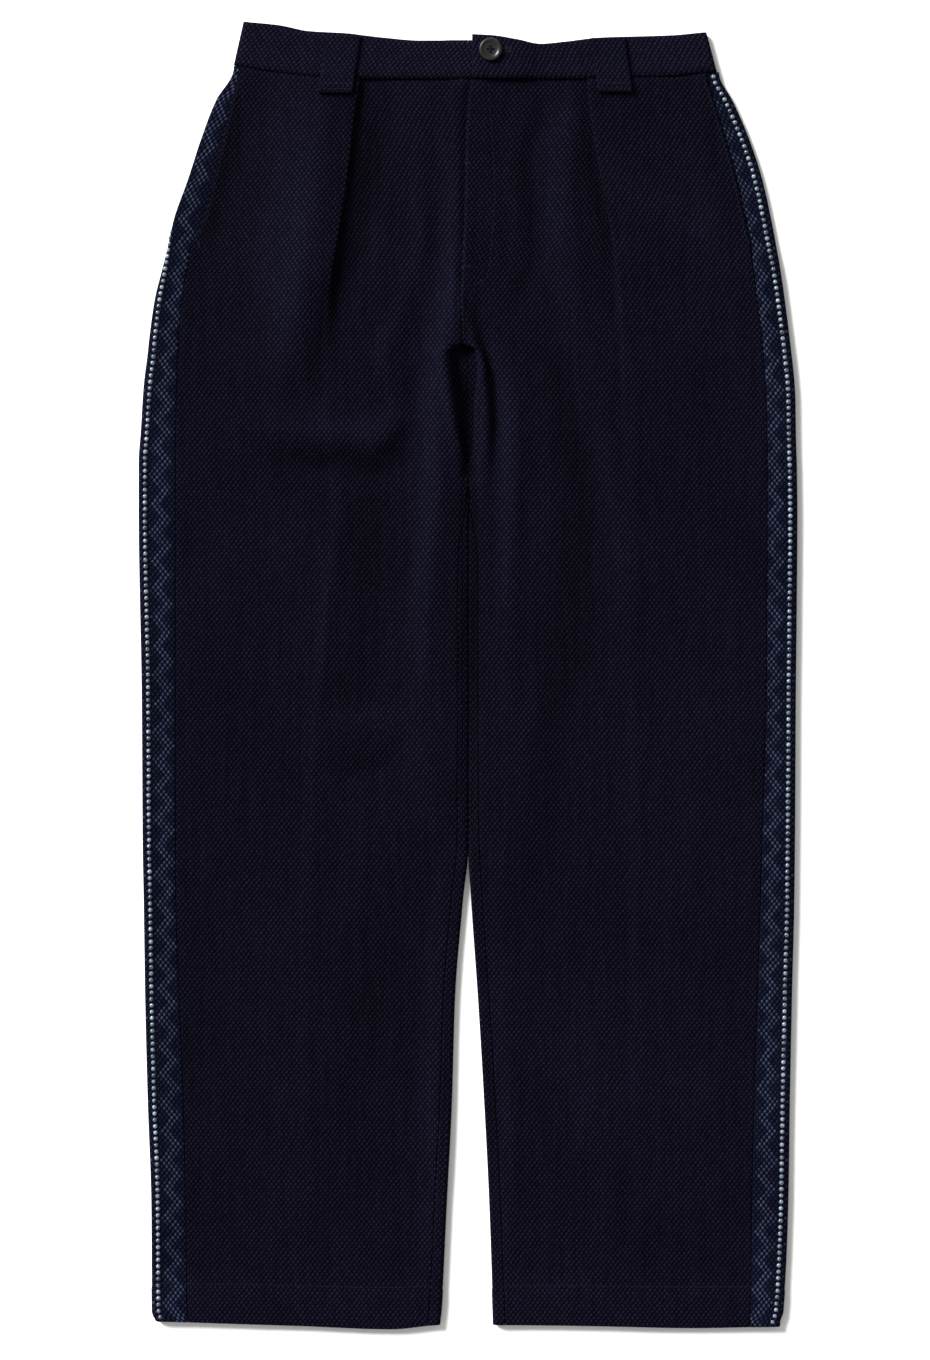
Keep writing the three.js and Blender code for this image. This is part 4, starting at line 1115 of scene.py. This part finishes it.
# Belt loops
# Wide strips of the indigo cotton, one over the front of the waistband on each side and three behind.
# Each front loop is folded under and stitched down at its foot; the back ones lie on the table.
LOOP_CLOTH = 1.8
LOOP_GAP = 0.4
LOOP_WIDTH = 27
LOOP_LENGTH = 46
LOOP_BELLY = 0.12
LOOP_FOLD = 0.7
LOOP_FOLD_PART = 0.17
LOOP_STEPS = 16
BACK_LOOP_CLOTH = 1.4
BACK_LOOP_WIDTH = 26
BACK_LOOP_LENGTH = 28
BACK_LOOP_FOOT = 473
BACK_LOOP_DROP = 2
FRONT_LOOPS = {
    "right": {"top": (-98, 503.6), "bottom": (-104.7, 458)},
    "left": {"top": (110.5, 501.8), "bottom": (116, 458.7)},
}
BACK_LOOPS = {"right": -107, "centre": CENTRE_BACK, "left": 107}


def face_under(side, x, y):
    """Upper face of what a front loop lies on."""
    sign = SIGN[side]
    seam = waist_seam(side, x)
    row = float(np.mean(np.minimum(y - sag(side, x, min(y, WAIST_SEAM)), WAIST_SEAM)))
    cloth = top_at(side, row, outline_at(side, row), sign * x) + HALF
    part = (y - seam) / (read(WAIST_TOPS[side], "front", x) - seam)
    band = waist_level(side, x) + read(WAIST_SECTION, "lift", part) + read(WAIST_SECTION, "cloth", part) / 2
    return np.where(y < seam, cloth, band)


def loop_strip(name, sign, width, rows, material):
    """A loop's strip from its rows: place up the leg, path across, thickness and distance to an end."""
    sections = [
        {
            "path": with_round_ends(path), "along": y, "reference": width / 2,
            "outside": thick / 2, "inside": thick / 2, "full": float(edge_fullness(to_end)),
        }
        for y, path, thick, to_end in rows
    ]
    return wall(name, sign, sections, material)


def front_loop(name, side, loop, material):
    """A loop that lies softly over the waistband and the front below it, and is folded under at its foot."""
    sign = SIGN[side]
    (foot_x, foot_y), (top_x, top_y) = loop["bottom"], loop["top"]
    near = np.array(ROUND_STEPS) / LOOP_LENGTH
    reach = np.linspace(-5, 5, 9)
    weight = np.exp(-((reach / 3.2) ** 2))
    bulge = np.sin(math.pi * np.linspace(0, 1, LOOP_STEPS + 1))
    rows = []
    for part in np.unique(np.concatenate([np.linspace(0, 1, 30), near, 1 - near])):
        y = foot_y + (top_y - foot_y) * part
        centre = foot_x + (top_x - foot_x) * part
        unfolded = float(ease(LOOP_FOLD_PART - 0.02, LOOP_FOLD_PART + 0.04, part))
        thick = LOOP_CLOTH + LOOP_FOLD * (1 - unfolded)
        across = np.linspace(sign * centre + LOOP_WIDTH / 2, sign * centre - LOOP_WIDTH / 2, LOOP_STEPS + 1)
        faces = np.array([face_under(side, sign * across, y + step) for step in reach])
        soft = np.log((weight[:, None] * np.exp(4 * faces)).sum(0) / weight.sum()) / 4
        belly = LOOP_BELLY * np.sin(math.pi * part) * bulge
        path = np.stack([across, soft + LOOP_GAP + thick / 2 + belly], 1)
        rows.append((y, path, thick, LOOP_LENGTH * min(part, 1 - part)))
    return loop_strip(name, sign, LOOP_WIDTH, rows, material)


def back_loop(name, centre, material):
    """A loop that lies flat on the table, under the back of the waistband."""
    foot = BACK_LOOP_FOOT - (BACK_LOOP_DROP if abs(centre) < 1 else 0)
    top = foot + BACK_LOOP_LENGTH
    near = np.array(ROUND_STEPS)
    path = straight(
        centre + BACK_LOOP_WIDTH / 2, centre - BACK_LOOP_WIDTH / 2, LOOP_STEPS,
        lambda a: np.full(a.shape, BACK_LOOP_CLOTH / 2),
    )
    places = np.unique(np.concatenate([foot + near, np.linspace(foot + 2, top - 2, 13), top - near]))
    rows = [(y, path, BACK_LOOP_CLOTH, min(y - foot, top - y)) for y in places]
    return loop_strip(name, 1, BACK_LOOP_WIDTH, rows, material)


LOOP_GROUND = (0.0017, 0.0015, 0.0045, 1)
LOOP_STITCH = (0.0080, 0.0078, 0.0168, 1)
loop_cotton = cloth_material("loop_cotton", LOOP_GROUND, LOOP_STITCH)
for side, loop in FRONT_LOOPS.items():
    strip = front_loop(f"belt_loop_front_{side}_cloth", side, loop, loop_cotton)
    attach(strip, "root")
    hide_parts(f"belt_loop_front_{side}")
for place, centre in BACK_LOOPS.items():
    strip = back_loop(f"belt_loop_back_{place}_cloth", centre, loop_cotton)
    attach(strip, "root")
    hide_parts(f"belt_loop_back_{place}")

# Button
# A four-hole button turned from dark horn-like resin, with a raised rim round a sunk centre.
# It is sewn through the waistband's right end with thread that crosses between its holes.
BUTTON_HOLE_RADIUS = 1.05
BUTTON_HOLE_SPREAD = 2.1
BUTTON_CENTRE = (17.7, 492.3)
# Radius and height: 18 mm wide and 3 mm high
BUTTON_PROFILE = [
    (0, 0), (7.4, 0), (8, 0.15), (8.6, 0.55), (8.95, 1.1), (9, 1.6), (8.95, 2.1), (8.7, 2.6), (8.25, 2.9),
    (7.7, 3), (7.1, 2.95), (6.5, 2.75), (5.9, 2.4), (5.3, 2.12), (4.6, 2), (0, 2),
]
BUTTON_TURNS = 64
BUTTON_EDGE_ANGLE = 50
DRILL_PROFILE = [(0, -1), (BUTTON_HOLE_RADIUS, -1), (BUTTON_HOLE_RADIUS, 4), (0, 4)]
DRILL_TURNS = 20


def turned(name, profile, turns, centre):
    """A closed form turned round an upright axis from a profile that starts and ends on it."""
    points = [(0, 0, profile[0][1])]
    for radius, height in profile[1:-1]:
        for turn in range(turns):
            angle = 2 * math.pi * turn / turns
            points.append((radius * math.cos(angle), radius * math.sin(angle), height))
    points.append((0, 0, profile[-1][1]))
    rings = len(profile) - 2
    at = lambda ring, turn: 1 + ring * turns + turn % turns
    faces = [(0, at(0, t + 1), at(0, t)) for t in range(turns)]
    for ring in range(rings - 1):
        faces += [(at(ring, t), at(ring, t + 1), at(ring + 1, t + 1), at(ring + 1, t)) for t in range(turns)]
    faces += [(len(points) - 1, at(rings - 1, t), at(rings - 1, t + 1)) for t in range(turns)]
    mesh = bpy.data.meshes.new(name)
    placed = [tuple((c + place) * MM for c, place in zip(point, centre)) for point in points]
    mesh.from_pydata(placed, [], faces)
    return new_object(name, mesh)


def as_plain_mesh(piece, material):
    """The piece with its modifiers applied as a plain mesh."""
    solid = bpy.data.meshes.new_from_object(piece.evaluated_get(bpy.context.evaluated_depsgraph_get()))
    piece.modifiers.clear()
    piece.data = solid
    solid.materials.clear()
    solid.materials.append(material)
    return solid


HORN_DARK = (0.006, 0.005, 0.005, 1)
HORN_LIGHT = (0.016, 0.014, 0.0135, 1)
horn, tree = new_material("horn_resin")
place = object_place(tree)
scuffs = noise(tree, place, 900, 3)
tiny = add_node(tree, "ShaderNodeBump", Height=scuffs, Distance=0.00004, Strength=0.6)
finish_material(
    tree, Base_Color=mixed(tree, noise(tree, place, 220, 4, Distortion=1.4), HORN_DARK, HORN_LIGHT),
    Roughness=ranged(tree, scuffs, To_Min=0.22, To_Max=0.4), Normal=tiny.outputs[0], Specular_IOR_Level=0.22,
)
button_floor = float(waist_level("left", BUTTON_CENTRE[0])) + WAIST_CLOTH / 2 + SEAM_GAP
button = turned("button_turned", BUTTON_PROFILE, BUTTON_TURNS, (*BUTTON_CENTRE, button_floor))
drills = []
for way in ((1, 0), (-1, 0), (0, 1), (0, -1)):
    hole_x, hole_y = (middle + share * BUTTON_HOLE_SPREAD for middle, share in zip(BUTTON_CENTRE, way))
    drill = turned("drill", DRILL_PROFILE, DRILL_TURNS, (hole_x, hole_y, button_floor))
    cut = button.modifiers.new("hole", "BOOLEAN")
    cut.operation = "DIFFERENCE"
    cut.solver = "EXACT"
    cut.object = drill
    drills.append(drill)
button_mesh = as_plain_mesh(button, horn)
for drill in drills:
    bpy.data.objects.remove(drill)
button_mesh.polygons.foreach_set("use_smooth", [True] * len(button_mesh.polygons))
button_mesh.set_sharp_from_angle(angle=math.radians(BUTTON_EDGE_ANGLE))
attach(button, "root")
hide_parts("button")

# Beads
# A single row of small domed studs down the middle of each side band, pressed into the cloth by their prongs.
# They are polished and pale blue-grey. The right row passes behind the side fold at the hip.
BEAD_PITCH = 5.0
BEAD_SIZE = (3.6, 3.6, 2.4)
BEAD_ROWS = {"right": (-506, 352), "left": (-506, 466)}
BEAD_DARK = (0.02, 0.028, 0.04, 1)
BEAD_PALE = (0.17, 0.21, 0.25, 1)
LINE_STEP = 4.0
ABOVE = 40


def on_leg(side, across, y):
    """A place seen from above, for one across and up a leg."""
    x = SIGN[side] * across
    return x, y + float(sag(side, x, y))


def laid_on(names, path, step=1.0):
    """Points along a path seen from above, dropped onto the pieces named, with the normals there."""
    graph = bpy.context.evaluated_depsgraph_get()
    faces = [BVHTree.FromObject(bpy.data.objects[name], graph) for name in names]
    sums = lengths(np.array(path, float))
    count = max(2, int(round(sums[-1] / step)) + 1)
    found = []
    for x, y in points_at(np.array(path, float), np.linspace(0, sums[-1], count)):
        hits = [tree.ray_cast((x * MM, y * MM, ABOVE * MM), (0, 0, -1)) for tree in faces]
        hits = [hit for hit in hits if hit[0] is not None]
        if hits:
            best = max(hits, key=lambda hit: hit[0].z)
            found.append((tuple(best[0]), tuple(best[1])))
    return found


def line_mesh(name, lines):
    """Lines of points with normals as one mesh of edges, which carries the normals."""
    points = [point for line in lines for point, _ in line]
    edges = []
    first = 0
    for line in lines:
        edges += [(k, k + 1) for k in range(first, first + len(line) - 1)]
        first += len(line)
    mesh = bpy.data.meshes.new(name)
    mesh.from_pydata(points, edges, [])
    normals = mesh.attributes.new("surface_normal", "FLOAT_VECTOR", "POINT")
    normals.data.foreach_set("vector", [c for line in lines for _, normal in line for c in normal])
    return new_object(name, mesh)


def row_of_domes():
    """A node tree that sets flattened domes along lines, each squared up to the surface and to its line."""
    made, given, built = group_with("row_of_domes", "GeometryNodeTree", {
        "Lines": "Geometry", "Pitch": "Float", "Size": "Vector", "Turn": "Float", "Uneven": "Float",
        "Sides": "Int", "Seed": "Int", "Material": "Material",
    }, {"Domes": "Geometry"})

    def random(middle, reach, seed_step):
        """A value for each dome, at random about a middle one."""
        spread = calculate(made, "MULTIPLY", given["Uneven"], reach)
        return add_node(
            made, "FunctionNodeRandomValue", {"data_type": "FLOAT"},
            i2=calculate(made, "SUBTRACT", middle, spread), i3=calculate(made, "ADD", middle, spread),
            Seed=calculate(made, "ADD", given["Seed"], seed_step),
        ).outputs[1]

    curve = add_node(made, "GeometryNodeMeshToCurve", Mesh=given["Lines"]).outputs[0]
    points = add_node(
        made, "GeometryNodeCurveToPoints", {"mode": "LENGTH"}, Curve=curve, Length=given["Pitch"],
    ).outputs
    normal = add_node(
        made, "GeometryNodeInputNamedAttribute", {"data_type": "FLOAT_VECTOR"}, Name="surface_normal",
    ).outputs["Attribute"]
    squared = add_node(
        made, "FunctionNodeAxesToRotation", {"primary_axis": "Z", "secondary_axis": "X"},
        Primary_Axis=normal, Secondary_Axis=points["Tangent"],
    ).outputs[0]
    turn = calculate(made, "ADD", given["Turn"], random(0, 1, 0))
    angle = add_node(made, "ShaderNodeCombineXYZ", X=random(0, 3, 3), Z=turn).outputs[0]
    spin = add_node(made, "FunctionNodeEulerToRotation", Euler=angle).outputs[0]
    rotation = add_node(
        made, "FunctionNodeRotateRotation", {"rotation_space": "LOCAL"}, i0=squared, i1=spin,
    ).outputs[0]
    size = add_node(
        made, "ShaderNodeVectorMath", {"operation": "SCALE"}, i0=given["Size"], Scale=random(1, 1, 7),
    ).outputs[0]
    rings = calculate(made, "DIVIDE", given["Sides"], 2)
    dome = add_node(
        made, "GeometryNodeMeshUVSphere", Segments=given["Sides"], Rings=rings, Radius=0.5,
    ).outputs[0]
    smooth = add_node(made, "GeometryNodeSetShadeSmooth", Geometry=dome).outputs[0]
    placed = add_node(
        made, "GeometryNodeInstanceOnPoints", Points=points["Points"], Instance=smooth, Rotation=rotation,
        Scale=size,
    ).outputs[0]
    real = add_node(made, "GeometryNodeRealizeInstances", Geometry=placed).outputs[0]
    coloured = add_node(made, "GeometryNodeSetMaterial", Geometry=real, Material=given["Material"])
    made.links.new(coloured.outputs[0], built["Domes"])
    return made


def set_row(name, lines, material, pitch, size, turn=0.0, uneven=0.0, sides=8, seed=1):
    """The domes along the lines as one plain mesh."""
    piece = line_mesh(name, lines)
    rows = piece.modifiers.new("row", "NODES")
    rows.node_group = domes
    wanted = {
        "Pitch": pitch * MM, "Size": tuple(c * MM for c in size), "Turn": math.radians(turn),
        "Uneven": uneven, "Sides": sides, "Seed": seed, "Material": material,
    }
    for socket in domes.interface.items_tree:
        if socket.name in wanted:
            rows[socket.identifier] = wanted[socket.name]
    as_plain_mesh(piece, material)
    return piece


domes = row_of_domes()
pale_stud, tree = new_material("pale_stud")
place = object_place(tree)
patchy = ranged(tree, noise(tree, place, 170, 2), From_Min=0.35, From_Max=0.68)
finish_material(
    tree, Base_Color=mixed(tree, patchy, BEAD_DARK, BEAD_PALE),
    Roughness=ranged(tree, noise(tree, place, 1500, 2), To_Min=0.1, To_Max=0.22),
)
bpy.context.view_layer.update()
for side, sign in SIGN.items():
    row = []
    for y in np.arange(BEAD_ROWS[side][0], BEAD_ROWS[side][1] + 1, LINE_STEP):
        path, reference = band_path(side, y)
        face = offset(path, np.full(len(path), HALF))
        middle = points_at(path, [reference])[0]
        across, height = (np.interp(reference, lengths(path), face[:, axis]) for axis in (0, 1))
        x, moved = on_leg(side, across, y)
        normal = (sign * (across - middle[0]) / HALF, 0, (height - middle[1]) / HALF)
        row.append(((x * MM, moved * MM, height * MM), normal))
    studs = set_row(f"beads_{side}", [row], pale_stud, BEAD_PITCH, BEAD_SIZE, uneven=0.06, sides=12, seed=11)
    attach(studs, "root")

# Sewing
# Twisted cotton thread: topstitching at the fly, hems, pocket edges and loops, and four dense bar tacks.
# The buttonhole is worked in the waistband's left end, and the button's thread crosses between its holes.
STITCH_PITCH = 3.3
STITCH_SIZE = (2.7, 0.62, 0.5)
TACK_PITCH = 0.55
TACK_SIZE = (2.2, 0.55, 0.5)
HEM_STITCH = -479.5
HEM_STITCH_POINTS = 60
HEM_STITCH_ENDS = 4
POCKET_STITCH = 2.4
FLY_EDGE_STITCH = 1.8
FLY_STITCH_FOOT = [(14.5, 313), (8, 308.5), (0, 306)]
LOOP_STITCH_RISES = (3, 7)
LOOP_STITCH_ENDS = 1.5
TACK_STEP = 0.5
TACKS = table("x0 y0 x1 y1", [
    (-212.5, 342, -211.8, 337), (222, 345, 221.6, 340), (-2, 403, 1.5, 403), (-3.5, 322, 1.5, 321.5),
])
BUTTONHOLE = table("x0 y0 x1 y1", [(24, 493.4, 33, 493.2), (24, 490.8, 33, 490.9)])
BUTTONHOLE_END = ((33.6, 494.4), (33.6, 489.8))
BUTTONHOLE_PITCH = 0.5
BUTTONHOLE_SIZE = (2.1, 0.5, 0.5)
STRAND_PITCH = 0.5
STRAND_SIZE = (0.75, 0.36, 0.4)
STRAND_HEIGHT = 2.15
STRAND_OVER = 0.3
STRAND_APART = 0.2
THREAD_DARK = (0.0022, 0.0022, 0.0055, 1)
THREAD_PALE = (0.012, 0.0125, 0.023, 1)
cotton_thread, tree = new_material("cotton_thread")
place = object_place(tree)
twist = add_node(tree, "ShaderNodeTexWave", {"bands_direction": "DIAGONAL"}, Vector=place, Scale=900)
bump = add_node(tree, "ShaderNodeBump", Height=twist.outputs["Fac"], Distance=0.0001, Strength=0.5)
finish_material(
    tree, Base_Color=mixed(tree, noise(tree, place, 350, 3), THREAD_DARK, THREAD_PALE), Roughness=0.85,
    Normal=bump.outputs[0], Specular_IOR_Level=0.05,
)
topstitching = []
for side in SIGN:
    ends = outline_at(side, HEM_STITCH)
    places = np.linspace(ends["inner"] + HEM_STITCH_ENDS, ends["side"] - HEM_STITCH_ENDS, HEM_STITCH_POINTS)
    hem = [on_leg(side, across, HEM_STITCH) for across in places]
    topstitching.append(laid_on([f"front_{side}_cloth", f"side_band_{side}_cloth"], hem))
    rows = np.arange(POCKET_FOOT + 2, WAIST_SEAM - 5, LINE_STEP)
    pocket = [on_leg(side, outline_at(side, y)["seam"] - POCKET_STITCH, y) for y in rows]
    topstitching.append(laid_on([f"front_{side}_cloth"], pocket))
    (foot_x, foot_y), (top_x, top_y) = FRONT_LOOPS[side]["bottom"], FRONT_LOOPS[side]["top"]
    for rise in LOOP_STITCH_RISES:
        middle = foot_x + (top_x - foot_x) / (top_y - foot_y) * rise
        reach = LOOP_WIDTH / 2 - LOOP_STITCH_ENDS
        run = [(middle - reach, foot_y + rise), (middle + reach, foot_y + rise)]
        topstitching.append(laid_on([f"belt_loop_front_{side}_cloth"], run))
rows = np.arange(CROTCH_ROLLED + 8, WAIST_SEAM - 3, LINE_STEP)
fly_edge = [(outline_at("left", y)["inner"] + FLY_EDGE_STITCH, y) for y in rows]
fly_curve = [(x, y) for y, x in zip(*FLY_STITCH.values())][::-1] + FLY_STITCH_FOOT
topstitching += [laid_on(["front_left_cloth"], line) for line in (fly_edge, fly_curve)]
sewing = set_row("topstitching", topstitching, cotton_thread, STITCH_PITCH, STITCH_SIZE, uneven=0.09, seed=3)
tops = ["front_left_cloth", "front_right_cloth", "side_band_right_cloth", "side_band_left_cloth"]
tacks = [laid_on(tops, [(x0, y0), (x1, y1)], TACK_STEP) for x0, y0, x1, y1 in zip(*TACKS.values())]
bar_tacks = set_row("bar_tacks", tacks, cotton_thread, TACK_PITCH, TACK_SIZE, turn=84, uneven=0.14, seed=5)
sides = [((x0, y0), (x1, y1)) for x0, y0, x1, y1 in zip(*BUTTONHOLE.values())]
hole = [laid_on(["waistband_left_cloth"], line, TACK_STEP) for line in (*sides, BUTTONHOLE_END)]
buttonhole = set_row(
    "buttonhole", hole, cotton_thread, BUTTONHOLE_PITCH, BUTTONHOLE_SIZE, turn=90, uneven=0.12, seed=9,
)
crossing = []
reach = BUTTON_HOLE_SPREAD + STRAND_APART
for turn_x, turn_y in ((1, 0), (0, 1)):
    for shift in (-STRAND_APART, STRAND_APART):
        ends = [
            (
                BUTTON_CENTRE[0] + sign * reach * turn_x + shift * turn_y,
                BUTTON_CENTRE[1] + sign * reach * turn_y + shift * turn_x,
            )
            for sign in (-1, 1)
        ]
        height = (button_floor + STRAND_HEIGHT + STRAND_OVER * turn_y) * MM
        strand = points_at(np.array(ends), np.linspace(0, 2 * reach, 9))
        crossing.append([((x * MM, y * MM, height), (0, 0, 1)) for x, y in strand])
button_thread = set_row("button_thread", crossing, cotton_thread, STRAND_PITCH, STRAND_SIZE, turn=24, seed=13)
for piece in (sewing, bar_tacks, buttonhole, button_thread):
    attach(piece, "root")
